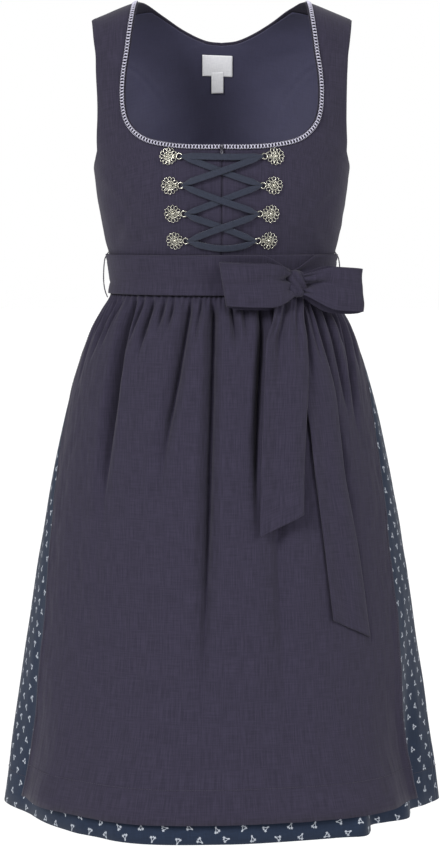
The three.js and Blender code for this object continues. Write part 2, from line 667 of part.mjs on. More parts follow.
// A point of the waist at an angle round from the centre front, and a distance out from it.
function waistPoint(angle, z, out) {
  const [sin, cos] = [Math.sin(radians(angle)), Math.cos(radians(angle))];
  const held = Math.max(z, WAIST_Z);
  const spread = 2.5 * ease(z, WAIST_Z, -364);
  const width = torsoWidth(held) + spread;
  const depth = torsoDepth[cos > 0 ? "front" : "back"](held) + spread;
  const normal = new THREE.Vector3(sin / width, -cos / depth, 0).normalize();
  return new THREE.Vector3(width * sin, -depth * cos, z).addScaledVector(normal, out);
}

const BAND_OUT = 2.6;
const SASH_OUT = BAND_OUT + LINEN + 0.4;
const bandRows = [BAND_TOP - BAND_HEIGHT, WAIST_Z, BAND_TOP];
const bandSheet = (from, to, columns, out) =>
  sheet(columns, 2, (u, v) => waistPoint(mix(from, to, u), rowValue(bandRows, v), out));
addPiece("apron_waistband", wall(bandSheet(-99, 99, 36, BAND_OUT), LINEN, false), linen);
const wrap = bandSheet(KNOT_ANGLE + 1, KNOT_ANGLE + 359, 66, SASH_OUT);
addPiece("sash_wrap", wall(wrap, LINEN, false), linen);

// The bow, in a frame of its own: s runs along the waist from the knot, to the right where it
// is positive. To the left the sash lies along the waist, and to the right it stands straight
// out from the body.
const LOOP_HEIGHT = 52;
const KNOT = { width: 24, height: 27, thick: 17, z: -346 };
const knotPoint = (z, out) => waistPoint(KNOT_ANGLE, z, out);
const along = knotPoint(0, 0).clone().sub(waistPoint(KNOT_ANGLE - 1, 0, 0)).normalize();
const DEGREES_PER_MM = 1 / knotPoint(0, 0).distanceTo(waistPoint(KNOT_ANGLE - 1, 0, 0));

function bowPoint(s, z, out) {
  if (s < 0) return waistPoint(KNOT_ANGLE + s * DEGREES_PER_MM * 0.96, z, out);
  const bend = 0.0011 * s * s;
  return knotPoint(z, out - bend).addScaledVector(along, s);
}

// The path of a loop in plan: out from the knot along its front, and back along its rear.
const LOOP = [
  { reach: 0, out: 15 },
  { reach: 0.22, out: 20 },
  { reach: 0.5, out: 26 },
  { reach: 0.78, out: 27 },
  { reach: 0.96, out: 23.5 },
  { reach: 1, out: 19 },
  { reach: 0.95, out: 14.5 },
  { reach: 0.76, out: 11.5 },
  { reach: 0.5, out: 10.6 },
  { reach: 0.22, out: 10.6 },
  { reach: 0, out: 11.5 },
].map((row, order) => ({ ...row, order }));
const loopReach = curveThrough(LOOP, "order", "reach");
const loopOut = curveThrough(LOOP, "order", "out");

function bowLoop(side, length, droop) {
  const strip = sheet(16, 3, (u, v) => {
    const at = (side > 0 ? 1 - u : u) * (LOOP.length - 1);
    const reach = loopReach(at);
    const half = mix(KNOT.height * 0.36, LOOP_HEIGHT / 2, ease(reach, 0, 0.5));
    const z = KNOT.z - droop * reach + half * (2 * v - 1);
    return bowPoint(side * length * reach, z, loopOut(at));
  });
  return wall(strip, LINEN, false);
}

const knotBall = new THREE.IcosahedronGeometry(1, 2);
knotBall.scale(KNOT.width / 2, KNOT.thick / 2, KNOT.height / 2);
const knotTurn = new THREE.Matrix4().makeRotationZ(Math.atan2(along.y, along.x));
knotTurn.setPosition(knotPoint(KNOT.z, SASH_OUT + 0.8 + KNOT.thick / 2));
knotBall.applyMatrix4(knotTurn);
addPiece("sash_bow", fused(knotBall, bowLoop(-1, 96, 2), bowLoop(1, 85, 14)), linen);

// The two ends of the sash, from under the knot to their slanted tips.
const LEFT_TAIL = [
  { z: -642, left: 44.5, right: 97, out: 9, fold: 1 },
  { z: -570, left: 47, right: 99.3, out: 10.5, fold: 2 },
  { z: -502, left: 49.7, right: 103, out: 11, fold: 2 },
  { z: -457, left: 52, right: 105.4, out: 11, fold: 2 },
  { z: -412, left: 54.4, right: 104.3, out: 11, fold: 2 },
  { z: -388, left: 63, right: 101, out: 11, fold: 1.5 },
  { z: -360.2, left: 85, right: 99, out: 12.5, fold: 0 },
];
const RIGHT_TAIL = [
  { z: -742, left: 131.5, right: 176.5, out: 6, fold: 1 },
  { z: -684, left: 124.5, right: 167, out: 4.5, fold: 1.2 },
  { z: -583, left: 113, right: 150, out: 4.5, fold: 1.2 },
  { z: -526, left: 106.9, right: 143.6, out: 4.5, fold: 1 },
  { z: -481, left: 100, right: 139, out: 4.8, fold: 1 },
  { z: -421, left: 93, right: 123.5, out: 4.8, fold: 0.8 },
  { z: -385, left: 94, right: 113, out: 4.8, fold: 0.3 },
  { z: -360.2, left: 88, right: 103, out: 5.7, fold: 0 },
];

function sashTail(rows, slant) {
  const [left, right, out, fold] = ["left", "right", "out", "fold"].map((column) =>
    curveThrough(rows, "z", column),
  );
  const levels = rows.map(({ z }) => z);
  const strip = sheet(5, 12, (u, v) => {
    const z = rowValue(levels, v);
    const x = mix(left(z), right(z), u);
    const angle = THREE.MathUtils.radToDeg(Math.asin(x / (skirtWidth(z) + out(z))));
    const ripple = fold(z) * Math.cos(2 * Math.PI * (u * 1.2 + 0.1));
    const point = skirtPoint(angle, z, apronLift(z) + out(z) + ripple);
    point.z += slant * u * ease(z, levels[0] + 90, levels[0]);
    return point;
  });
  return wall(strip, LINEN, false);
}
addPiece("sash_tail_left", sashTail(LEFT_TAIL, 25), linen);
addPiece("sash_tail_right", sashTail(RIGHT_TAIL, -25), linen);

// Thread loops at the side seams, which keep the band in place.
for (const [name, side] of [["left", -1], ["right", 1]]) {
  const route = [[141.5, -308], [146, -317], [149, -340], [147.5, -360], [146.6, -371]];
  const path = new THREE.CatmullRomCurve3(route.map(([x, z]) => new THREE.Vector3(side * x, -6, z)));
  const section = new THREE.Shape().absarc(0, 0, 0.8, 0, 2 * Math.PI);
  const loop = new THREE.ExtrudeGeometry(section, {
    extrudePath: path,
    steps: 12,
    curveSegments: 3,
    bevelEnabled: false,
  });
  addPiece("thread_loop_" + name, loop, liningCotton);
}

dress.updateMatrixWorld(true);
export default dress;
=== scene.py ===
"""A knee-length dirndl as it is worn, with its apron, sash and laced front.

The dress hangs from the shoulders, at the origin, and its front faces -Y. Sizes are in
millimetres until a mesh is made, and cloth maps are in metres along the threads.
"""

import logging
import math
from dataclasses import dataclass
from enum import Enum
from typing import Any, Callable, Sequence

import bpy
import numpy as np
from mathutils import Matrix, Vector


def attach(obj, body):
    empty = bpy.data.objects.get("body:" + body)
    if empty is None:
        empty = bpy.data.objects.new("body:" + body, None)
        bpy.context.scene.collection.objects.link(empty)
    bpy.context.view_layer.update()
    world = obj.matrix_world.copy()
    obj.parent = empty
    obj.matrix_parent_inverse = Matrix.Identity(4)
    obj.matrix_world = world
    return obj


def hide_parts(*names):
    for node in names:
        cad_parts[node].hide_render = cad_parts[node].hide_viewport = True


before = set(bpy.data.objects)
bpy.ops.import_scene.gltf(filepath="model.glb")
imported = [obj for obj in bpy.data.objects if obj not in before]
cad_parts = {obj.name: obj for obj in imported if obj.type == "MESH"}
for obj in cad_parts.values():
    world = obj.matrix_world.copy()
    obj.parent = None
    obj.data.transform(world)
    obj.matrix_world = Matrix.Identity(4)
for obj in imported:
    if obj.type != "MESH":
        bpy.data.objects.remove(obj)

log = logging.getLogger("dirndl")

MM = 0.001
SEAM = 0.2  # each panel stops this far from the line of its seam
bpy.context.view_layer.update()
DRESS_BODY = "dress"
CLOTH_MAP = "cloth"
FACING = "facing"


class Half(Enum):
    """The front or the back of the dress."""

    FRONT = "front"
    BACK = "back"


class Side(Enum):
    """The left or the right of the dress, as seen from the front."""

    LEFT = -1
    RIGHT = 1

    @property
    def word(self) -> str:
        """The side's name as it stands in piece names."""
        return self.name.lower()


def ease(value: Any, start: float, end: float) -> Any:
    """Rise smoothly from 0 at start to 1 at end.

    Args:
        value: A number or an array.
        start: Where the rise begins.
        end: Where it ends, which may lie below start.

    Returns:
        The share between 0 and 1.
    """
    t = np.clip((value - start) / (end - start), 0, 1)
    return t * t * (3 - 2 * t)


def mix(a: Any, b: Any, share: Any) -> Any:
    """The value that lies the given share of the way from a to b."""
    return a + (b - a) * share


def trough(distance: Any, width: Any) -> Any:
    """A fold's profile: 1 on its line, 0 at one width from it, a little sharp at the bottom."""
    near = np.clip(1 - np.abs(distance) / width, 0, 1)
    round_part = (1 - np.cos(math.pi * near)) / 2
    return 0.6 * round_part + 0.4 * near**2


def gather(distance: Any, width: Any) -> Any:
    """A soft fold's profile: 1 on its line and 0 at one width from it."""
    near = np.clip(1 - np.abs(distance) / width, 0, 1)
    return (1 - np.cos(math.pi * near)) / 2


class Curve:
    """A smooth curve through a row of points."""

    def __init__(self, keys: Sequence[float], values: Sequence[float]) -> None:
        """Keep the points in rising order, with a slope for each.

        Args:
            keys: Where the points lie.
            values: Their values.
        """
        order = np.argsort(keys)
        self.keys = np.asarray(keys, float)[order]
        self.values = np.asarray(values, float)[order]
        k, v = self.keys, self.values
        before = np.concatenate([[0], np.arange(len(k) - 1)])
        after = np.concatenate([np.arange(1, len(k)), [len(k) - 1]])
        self.slopes = (v[after] - v[before]) / (k[after] - k[before])

    def __call__(self, at: Any) -> Any:
        """Read the curve.

        Args:
            at: A number or an array of keys.

        Returns:
            The values there, held at the ends.
        """
        k, v, s = self.keys, self.values, self.slopes
        at = np.clip(at, k[0], k[-1])
        i = np.clip(np.searchsorted(k, at, side="right") - 1, 0, len(k) - 2)
        h = k[i + 1] - k[i]
        t = (at - k[i]) / h
        t2, t3 = t * t, t**3
        return (
            (2 * t3 - 3 * t2 + 1) * v[i]
            + (t3 - 2 * t2 + t) * h * s[i]
            + (3 * t2 - 2 * t3) * v[i + 1]
            + (t3 - t2) * h * s[i + 1]
        )


class Table:
    """Rows with named columns, each read as a smooth curve over the first column."""

    def __init__(self, columns: str, *rows: Sequence[float]) -> None:
        """Name the columns.

        Args:
            columns: The columns' names, parted by spaces.
            *rows: One row for each section or fold.
        """
        names = columns.split()
        self.data = {name: np.array([row[i] for row in rows]) for i, name in enumerate(names)}
        self.curves = {name: Curve(self.data[names[0]], self.data[name]) for name in names[1:]}
        self.rows = [dict(zip(names, row)) for row in rows]

    def __call__(self, column: str, at: Any) -> Any:
        """The value of a column's curve at a key."""
        return self.curves[column](at)


def cornered(values: Sequence[float], corner: int) -> Callable[[Any], Any]:
    """A curve over the rows' order that turns a sharp corner at one row.

    Args:
        values: One value for each row.
        corner: The row of the corner, or 0 for a curve without one.

    Returns:
        The curve.
    """
    order = np.arange(len(values))
    upper = Curve(order[corner:], values[corner:])
    if corner == 0:
        return upper
    lower = Curve(order[: corner + 1], values[: corner + 1])
    return lambda at: np.where(at <= corner, lower(at), upper(at))


def crumple(u: Any, v: Any, size: float, seed: int, stretch: float = 1.0) -> Any:
    """Uneven low waves, as of cloth that was washed and worn.

    Args:
        u: Places across the cloth.
        v: Places along it.
        size: The waves' typical length.
        seed: Which waves.
        stretch: How many times longer the waves are along the cloth.

    Returns:
        Heights of about -1 to 1.
    """
    rng = np.random.default_rng(seed)
    total = np.zeros(np.broadcast(u, v).shape)
    for _ in range(14):
        angle = rng.uniform(0, math.pi)
        wave = 2 * math.pi / (size * rng.uniform(0.6, 1.7))
        phase = rng.uniform(0, 2 * math.pi)
        bend = rng.uniform(0.2, 0.9) * np.sin(wave * 0.31 * (u - v / stretch) + phase * 2)
        total += np.sin(wave * (u * math.cos(angle) + v / stretch * math.sin(angle)) + phase + bend)
    return total / 5


@dataclass
class Grid:
    """A sheet of points in rows and columns, with its cloth map."""

    points: np.ndarray
    cloth: np.ndarray

    def normals(self) -> np.ndarray:
        """The outward normal at each point."""
        across = np.gradient(self.points, axis=1)
        along = np.gradient(self.points, axis=0)
        normal = np.cross(across, along)
        return normal / np.maximum(np.linalg.norm(normal, axis=2, keepdims=True), 1e-9)

    def moved(self, distance: Any) -> "Grid":
        """The same sheet moved out along its normals.

        Args:
            distance: One distance, or one for each point.

        Returns:
            The moved sheet.
        """
        return Grid(self.points + self.normals() * np.asarray(distance)[..., None], self.cloth)

    def row(self, index: int, lift: float = 0.0) -> tuple[np.ndarray, np.ndarray]:
        """The points of one row, lifted, and their normals."""
        normal = self.normals()[index]
        return self.points[index] + lift * normal, normal

    def column(self, index: int, lift: float = 0.0) -> tuple[np.ndarray, np.ndarray]:
        """The points of one column, lifted, and their normals."""
        normal = self.normals()[:, index]
        return self.points[:, index] + lift * normal, normal

    def area(self) -> float:
        """The sheet's area in square metres."""
        p = self.points * MM
        a = np.cross(p[:-1, 1:] - p[:-1, :-1], p[1:, :-1] - p[:-1, :-1])
        b = np.cross(p[1:, :-1] - p[1:, 1:], p[:-1, 1:] - p[1:, 1:])
        return float((np.linalg.norm(a, axis=2) + np.linalg.norm(b, axis=2)).sum() / 2)


def paired(u: Any, v: Any) -> np.ndarray:
    """A cloth map from places across and along the cloth."""
    return np.stack(np.broadcast_arrays(u, v), axis=-1)


def cloth_lengths(points: np.ndarray, axis: int) -> np.ndarray:
    """How far along the cloth each point lies, in metres.

    Args:
        points: A sheet's points.
        axis: 0 to measure along columns, 1 along rows.

    Returns:
        The running length from the first point.
    """
    steps = np.linalg.norm(np.diff(points, axis=axis), axis=2) * MM
    start = np.zeros_like(np.take(steps, [0], axis=axis))
    return np.cumsum(np.concatenate([start, steps], axis=axis), axis=axis)


def put(name: str, data: Any) -> bpy.types.Object:
    """Make an object and link it to the scene.

    Args:
        name: The object's name.
        data: Its mesh, camera or light.

    Returns:
        The object.
    """
    piece = bpy.data.objects.new(name, data)
    bpy.context.scene.collection.objects.link(piece)
    return piece


def linear(colour: str) -> tuple[float, float, float, float]:
    """Turn an sRGB hex colour into a linear one.

    Args:
        colour: Such as "#3d3947".

    Returns:
        Red, green, blue and an alpha of 1.
    """
    parts = [int(colour[i : i + 2], 16) / 255 for i in (1, 3, 5)]
    red, green, blue = (c / 12.92 if c <= 0.04045 else ((c + 0.055) / 1.055) ** 2.4 for c in parts)
    return (red, green, blue, 1.0)


def add_node(
    tree: bpy.types.NodeTree, kind: str, inputs: dict | None = None, **settings: Any
) -> Any:
    """Add a node with its settings and links.

    Args:
        tree: Where it goes.
        kind: The node's type.
        inputs: For each input's name or number, a value, or the socket or node that feeds it.
        **settings: The node's own properties.

    Returns:
        The node.
    """
    node = tree.nodes.new(kind)
    for key, value in settings.items():
        setattr(node, key, value)
    for key, value in (inputs or {}).items():
        if isinstance(value, bpy.types.Node):
            value = value.outputs[0]
        if isinstance(value, bpy.types.NodeSocket):
            tree.links.new(value, node.inputs[key])
        else:
            node.inputs[key].default_value = value
    return node


def new_material(name: str) -> tuple[bpy.types.Material, bpy.types.NodeTree]:
    """An empty node material and its tree."""
    material = bpy.data.materials.new(name)
    material.use_nodes = True
    material.node_tree.nodes.clear()
    return material, material.node_tree


@dataclass(frozen=True)
class WovenFinish:
    """A plain-woven cloth: threads both ways, some thicker than others.

    The eye gets uneven streaks along the threads, a matte face and a soft bloom at its edges.
    The threads themselves, about 0.5 mm apart, are too fine to show and are drawn coarser.
    """

    name: str
    base: str
    light: str
    thread_mm: float
    slub_mm: float
    streak: float
    relief_mm: float
    roughness: float
    sheen: float
    lengthwise: float = 0.5
    print_cell_mm: tuple[float, float] = (0.0, 0.0)
    motif: str = "#ffffff"

    def streaks(self, tree: bpy.types.NodeTree, cloth: Any) -> tuple[Any, Any]:
        """The thread streaks, in both directions.

        Args:
            tree: The material's tree.
            cloth: The node of the cloth map, in metres.

        Returns:
            The nodes of the streaks, about 0.5 on average, and of the fine weave.
        """
        fine = 1 / (self.thread_mm * MM)
        long = 1 / (self.slub_mm * MM)
        bands = []
        for scale, start in (((fine, long, 1), (3, 7, 0)), ((long, fine, 1), (11, 2, 5))):
            placed = add_node(
                tree, "ShaderNodeMapping", {"Vector": cloth, "Location": start, "Scale": scale}
            )
            noise = add_node(
                tree,
                "ShaderNodeTexNoise",
                {"Vector": placed, "Scale": 1.0, "Detail": 1.5, "Roughness": 0.6},
                noise_dimensions="2D",
            )
            bands.append(noise)
        both = add_node(tree, "ShaderNodeMix", {0: self.lengthwise, 2: bands[1], 3: bands[0]})
        waves = []
        for direction in ("X", "Y"):
            wave = add_node(
                tree,
                "ShaderNodeTexWave",
                {"Vector": cloth, "Scale": fine / 20, "Distortion": 0.6, "Detail": 1.0},
                wave_type="BANDS",
                bands_direction=direction,
            )
            waves.append(wave.outputs["Fac"])
        weave = add_node(tree, "ShaderNodeMath", {0: waves[0], 1: waves[1]}, operation="MULTIPLY")
        return both, weave

    def flowers(self, tree: bpy.types.NodeTree, cloth: Any) -> Any:
        """A small sprig in each staggered cell: two blossoms and a bud on stalks over a leaf.

        Args:
            tree: The material's tree.
            cloth: The node of the cloth map, in metres.

        Returns:
            The print's mask.
        """
        width, height = self.print_cell_mm
        cells = add_node(
            tree,
            "ShaderNodeVectorMath",
            {0: cloth, 1: (width * MM, height * MM, 1)},
            operation="DIVIDE",
        )
        split = add_node(tree, "ShaderNodeSeparateXYZ", {0: cells})
        row = add_node(tree, "ShaderNodeMath", {0: split.outputs[1]}, operation="FLOOR")
        across = add_node(
            tree, "ShaderNodeMath", {0: row, 1: 0.42, 2: split}, operation="MULTIPLY_ADD"
        )
        column = add_node(tree, "ShaderNodeMath", {0: across}, operation="FLOOR")
        cell = add_node(tree, "ShaderNodeCombineXYZ", {0: column, 1: row})
        chance = add_node(tree, "ShaderNodeTexWhiteNoise", {"Vector": cell}, noise_dimensions="2D")
        place = add_node(tree, "ShaderNodeCombineXYZ", {0: across, 1: split.outputs[1]})
        part = add_node(tree, "ShaderNodeVectorMath", {0: place}, operation="FRACTION")
        centred = add_node(
            tree, "ShaderNodeVectorMath", {0: part, 1: (0.5, 0.5, 0)}, operation="SUBTRACT"
        )
        sized = add_node(
            tree, "ShaderNodeVectorMath", {0: centred, 1: (width, height, 0)}, operation="MULTIPLY"
        )
        nudge = add_node(
            tree,
            "ShaderNodeVectorMath",
            {0: chance.outputs["Color"], 1: (5, 3, 0), 2: (-2.5, -1.5, 0)},
            operation="MULTIPLY_ADD",
        )
        jittered = add_node(tree, "ShaderNodeVectorMath", {0: sized, 1: nudge}, operation="ADD")
        angle = add_node(
            tree,
            "ShaderNodeMath",
            {0: chance.outputs["Value"], 1: 2 * math.pi},
            operation="MULTIPLY",
        )
        turned = add_node(
            tree,
            "ShaderNodeVectorRotate",
            {"Vector": jittered, "Angle": angle},
            rotation_type="Z_AXIS",
        )
        flat = add_node(tree, "ShaderNodeSeparateXYZ", {0: turned})
        flat_vector = add_node(tree, "ShaderNodeCombineXYZ", {0: flat, 1: flat.outputs[1]})
        mask: Any = 0.0
        for x, y, size in ((-2.3, 1.7, 1.35), (2.2, 2.3, 1.25)):
            off = add_node(
                tree, "ShaderNodeVectorMath", {0: flat_vector, 1: (x, y, 0)}, operation="SUBTRACT"
            )
            far = add_node(tree, "ShaderNodeVectorMath", {0: off}, operation="LENGTH")
            parts = add_node(tree, "ShaderNodeSeparateXYZ", {0: off})
            turn = add_node(
                tree, "ShaderNodeMath", {0: parts.outputs[1], 1: parts}, operation="ARCTAN2"
            )
            five = add_node(tree, "ShaderNodeMath", {0: turn, 1: 5.0}, operation="MULTIPLY")
            lobes = add_node(tree, "ShaderNodeMath", {0: five}, operation="COSINE")
            reach = add_node(
                tree, "ShaderNodeMath", {0: lobes, 1: 0.4, 2: size}, operation="MULTIPLY_ADD"
            )
            inside = add_node(
                tree, "ShaderNodeMath", {0: reach, 1: far.outputs["Value"]}, operation="SUBTRACT"
            )
            petals = add_node(
                tree, "ShaderNodeMapRange", {"Value": inside, "From Min": -0.3, "From Max": 0.3}
            )
            mask = add_node(tree, "ShaderNodeMath", {0: mask, 1: petals}, operation="MAXIMUM")
        for centre, size, lean in (
            ((-1.1, -0.6, 0), (0.38, 2.3, 1), -0.45),
            ((1.0, -0.4, 0), (0.38, 2.6, 1), 0.4),
            ((0.1, -2.9, 0), (0.9, 1.5, 1), 0.2),
            ((0.1, 2.9, 0), (0.75, 0.95, 1), 0.0),
        ):
            off = add_node(
                tree, "ShaderNodeVectorMath", {0: flat_vector, 1: centre}, operation="SUBTRACT"
            )
            leaning = add_node(
                tree,
                "ShaderNodeVectorRotate",
                {"Vector": off, "Angle": lean},
                rotation_type="Z_AXIS",
            )
            scaled = add_node(
                tree, "ShaderNodeVectorMath", {0: leaning, 1: size}, operation="DIVIDE"
            )
            far = add_node(tree, "ShaderNodeVectorMath", {0: scaled}, operation="LENGTH")
            leaf = add_node(
                tree,
                "ShaderNodeMapRange",
                {"Value": far.outputs["Value"], "From Min": 1.25, "From Max": 0.8},
            )
            mask = add_node(tree, "ShaderNodeMath", {0: mask, 1: leaf}, operation="MAXIMUM")
        return mask

    def material(self) -> bpy.types.Material:
        """Build the cloth's material.

        Returns:
            The material.
        """
        material, tree = new_material(self.name)
        cloth = add_node(tree, "ShaderNodeUVMap", uv_map=CLOTH_MAP)
        streaks, weave = self.streaks(tree, cloth)
        share = add_node(
            tree,
            "ShaderNodeMapRange",
            {
                "Value": streaks,
                "From Min": 0.36,
                "From Max": 0.66,
                "To Min": 0.5 - self.streak,
                "To Max": 0.5 + self.streak,
            },
        )
        colour = add_node(
            tree,
            "ShaderNodeMix",
            {0: share, 6: linear(self.base), 7: linear(self.light)},
            data_type="RGBA",
        ).outputs[2]
        if self.print_cell_mm[0]:
            mask = self.flowers(tree, cloth)
            colour = add_node(
                tree, "ShaderNodeMix", {0: mask, 6: colour, 7: linear(self.motif)}, data_type="RGBA"
            ).outputs[2]
        relief = add_node(
            tree, "ShaderNodeMath", {0: weave, 1: 0.5, 2: streaks}, operation="MULTIPLY_ADD"
        )
        bump = add_node(
            tree,
            "ShaderNodeBump",
            {"Strength": 0.55, "Distance": self.relief_mm * MM, "Height": relief},
        )
        shader = add_node(
            tree,
            "ShaderNodeBsdfPrincipled",
            {
                "Base Color": colour,
                "Roughness": self.roughness,
                "IOR": 1.45,
                "Specular IOR Level": 0.25,
                "Sheen Weight": self.sheen,
                "Sheen Roughness": 0.55,
                "Normal": bump,
            },
        )
        add_node(tree, "ShaderNodeOutputMaterial", {0: shader})
        return material


@dataclass(frozen=True)
class MetalFinish:
    """Cast metal with a dark oxide in its hollows, rubbed bright where it stands proud."""

    name: str
    bright: str
    dark: str
    roughness: float
    grain_mm: float

    def material(self) -> bpy.types.Material:
        """Build the metal's material.

        Returns:
            The material.
        """
        material, tree = new_material(self.name)
        place = add_node(tree, "ShaderNodeTexCoord").outputs["Object"]
        grain = add_node(
            tree,
            "ShaderNodeTexNoise",
            {"Vector": place, "Scale": 1 / (self.grain_mm * MM), "Detail": 3.0},
        )
        point = add_node(tree, "ShaderNodeNewGeometry").outputs["Pointiness"]
        worn = add_node(
            tree, "ShaderNodeMapRange", {"Value": point, "From Min": 0.47, "From Max": 0.56}
        )
        uneven = add_node(
            tree, "ShaderNodeMath", {0: grain, 1: 0.5, 2: worn}, operation="MULTIPLY_ADD"
        )
        share = add_node(
            tree, "ShaderNodeMapRange", {"Value": uneven, "From Min": 0.3, "From Max": 1.1}
        )
        colour = add_node(
            tree,
            "ShaderNodeMix",
            {0: share, 6: linear(self.dark), 7: linear(self.bright)},
            data_type="RGBA",
        )
        rough = add_node(
            tree,
            "ShaderNodeMapRange",
            {"Value": share, "To Min": self.roughness + 0.25, "To Max": self.roughness},
        )
        bump = add_node(
            tree, "ShaderNodeBump", {"Strength": 0.25, "Distance": 0.1 * MM, "Height": grain}
        )
        shader = add_node(
            tree,
            "ShaderNodeBsdfPrincipled",
            {"Base Color": colour.outputs[2], "Metallic": 1.0, "Roughness": rough, "Normal": bump},
        )
        add_node(tree, "ShaderNodeOutputMaterial", {0: shader})
        return material


# Linen spun unevenly and woven plain: thick threads show as pale streaks both ways.
LINEN = WovenFinish("slubby linen", "#242130", "#2f2b3c", 1.3, 26, 0.5, 0.3, 0.9, 0.07, 0.62)
# Plain cotton printed with small flowers: finer and smoother than the linen.
COTTON = WovenFinish(
    "printed cotton", "#131e31", "#1a273c", 1.2, 14, 0.35, 0.15, 0.82, 0.06, 0.5,
    print_cell_mm=(30.0, 13.5), motif="#a9afb9",
)
# Cotton sateen lining: close and smooth, with a faint sheen.
LINING = WovenFinish("cotton sateen lining", "#333246", "#3c3b53", 1.0, 18, 0.25, 0.08, 0.62, 0.1)
# Grosgrain ribbon: flat, with fine ribs across it.
RIBBON = WovenFinish("cotton lace ribbon", "#1a1f2d", "#262b3b", 1.1, 8, 0.4, 0.2, 0.62, 0.15)
# Cotton braid, in two lilac tones.
BRAID = WovenFinish("lilac braid", "#b7b4ca", "#dad8e6", 0.9, 4, 0.5, 0.2, 0.8, 0.05)
# The braid's dark ground.
BRAID_GROUND = WovenFinish("dark braid ground", "#12111a", "#1c1a27", 0.9, 4, 0.4, 0.2, 0.85, 0.05)
# Satin label: bare, pale and slightly shiny.
LABEL = WovenFinish("woven satin label", "#dedee4", "#f0f0f2", 0.8, 9, 0.3, 0.05, 0.45, 0.05)
# Sewing thread in the linen's own colour.
THREAD = WovenFinish("sewing thread", "#2b2834", "#3b3746", 0.5, 2, 0.4, 0.05, 0.7, 0.1)
# Antique silver: cast pewter, plated, darkened and rubbed back.
SILVER = MetalFinish("antique silver", "#b9b7ab", "#131210", 0.22, 1.1)
# The zip's slider: zinc with a dull dark coat.
ZINC = MetalFinish("dull zinc", "#6d6c74", "#232228", 0.45, 1.5)


class Wardrobe:
    """The materials, each built once."""

    built: dict[str, bpy.types.Material] = {}

    @classmethod
    def material(cls, finish: WovenFinish | MetalFinish) -> bpy.types.Material:
        """The material of a finish."""
        if finish.name not in cls.built:
            cls.built[finish.name] = finish.material()
        return cls.built[finish.name]


def hand_over(
    piece: bpy.types.Object,
    nodes: Sequence[str] = (),
    body: str = DRESS_BODY,
) -> None:
    """Fasten a finished piece to its body, and let it stand for its solids.

    Args:
        piece: The finished object.
        nodes: The solids that it replaces.
        body: The body that it rides on.
    """
    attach(piece, body)
    if nodes:
        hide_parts(*nodes)
    triangles = sum(len(p.vertices) - 2 for p in piece.data.polygons)
    log.info("%s: %d triangles before modifiers", piece.name, triangles)


def mesh_object(
    name: str,
    points: np.ndarray,
    faces: Sequence[Sequence[int]],
    finish: WovenFinish | MetalFinish,
    cloth: np.ndarray | None = None,
) -> bpy.types.Object:
    """Make an object from points in millimetres.

    Args:
        name: The object's name.
        points: One row for each point.
        faces: The faces' point numbers.
        finish: Its finish.
        cloth: The cloth map at each point, in metres.

    Returns:
        The object, smooth-shaded.
    """
    mesh = bpy.data.meshes.new(name)
    mesh.from_pydata((np.asarray(points) * MM).tolist(), [], [list(f) for f in faces])
    if cloth is not None:
        layer = mesh.uv_layers.new(name=CLOTH_MAP)
        corners = np.empty(len(mesh.loops), int)
        mesh.loops.foreach_get("vertex_index", corners)
        layer.data.foreach_set("uv", np.asarray(cloth, float)[corners].ravel())
    mesh.polygons.foreach_set("use_smooth", [True] * len(mesh.polygons))
    mesh.materials.append(Wardrobe.material(finish))
    mesh.update()
    return put(name, mesh)


def cloth_object(
    name: str, grids: Sequence[Grid], finish: WovenFinish, thickness: float
) -> bpy.types.Object:
    """Make a shell of cloth from one or more sheets that share an edge.

    Args:
        name: The object's name.
        grids: The sheets, whose points are the cloth's outer face.
        finish: Its finish.
        thickness: The cloth's thickness in millimetres.

    Returns:
        The object.
    """
    points = np.concatenate([g.points.reshape(-1, 3) for g in grids])
    cloth = np.concatenate([g.cloth.reshape(-1, 2) for g in grids])
    quads, start = [], 0
    for grid in grids:
        rows, columns = grid.points.shape[:2]
        index = start + np.arange(rows * columns).reshape(rows, columns)
        corners = (index[:-1, :-1], index[:-1, 1:], index[1:, 1:], index[1:, :-1])
        quads.append(np.stack(corners, axis=-1).reshape(-1, 4))
        start += rows * columns
    faces = np.concatenate(quads)
    if len(grids) > 1:
        first: dict[tuple[int, ...], int] = {}
        places = np.round(points * 50).astype(int)
        merged = np.array([first.setdefault(tuple(p), i) for i, p in enumerate(places)])
        used, faces = np.unique(merged[faces], return_inverse=True)
        points, cloth, faces = points[used], cloth[used], faces.reshape(-1, 4)
    piece = mesh_object(name, points, faces, finish, cloth)
    wall = piece.modifiers.new("wall", "SOLIDIFY")
    wall.thickness = thickness * MM
    wall.offset = -1
    wall.use_quality_normals = True
    return piece


def sewn(
    name: str,
    grids: Sequence[Grid],
    finish: WovenFinish,
    thickness: float,
    nodes: Sequence[str],
    flat: tuple[float, float] | None = None,
) -> None:
    """Make a piece of cloth and fasten it, and work out the width, length and area of its cut.

    Args:
        name: The object's name.
        grids: Its sheets.
        finish: Its finish.
        thickness: Its thickness in millimetres.
        nodes: The solids that it replaces.
        flat: Its width and length as cut in metres, or None to read them from its cloth map.
    """
    piece = cloth_object(name, grids, finish, thickness)
    hand_over(piece, nodes)
    cloth = np.concatenate([g.cloth.reshape(-1, 2) for g in grids])
    width, length = flat or (float(n) for n in np.ptp(cloth, axis=0))
    area = min(sum(g.area() for g in grids), width * length)


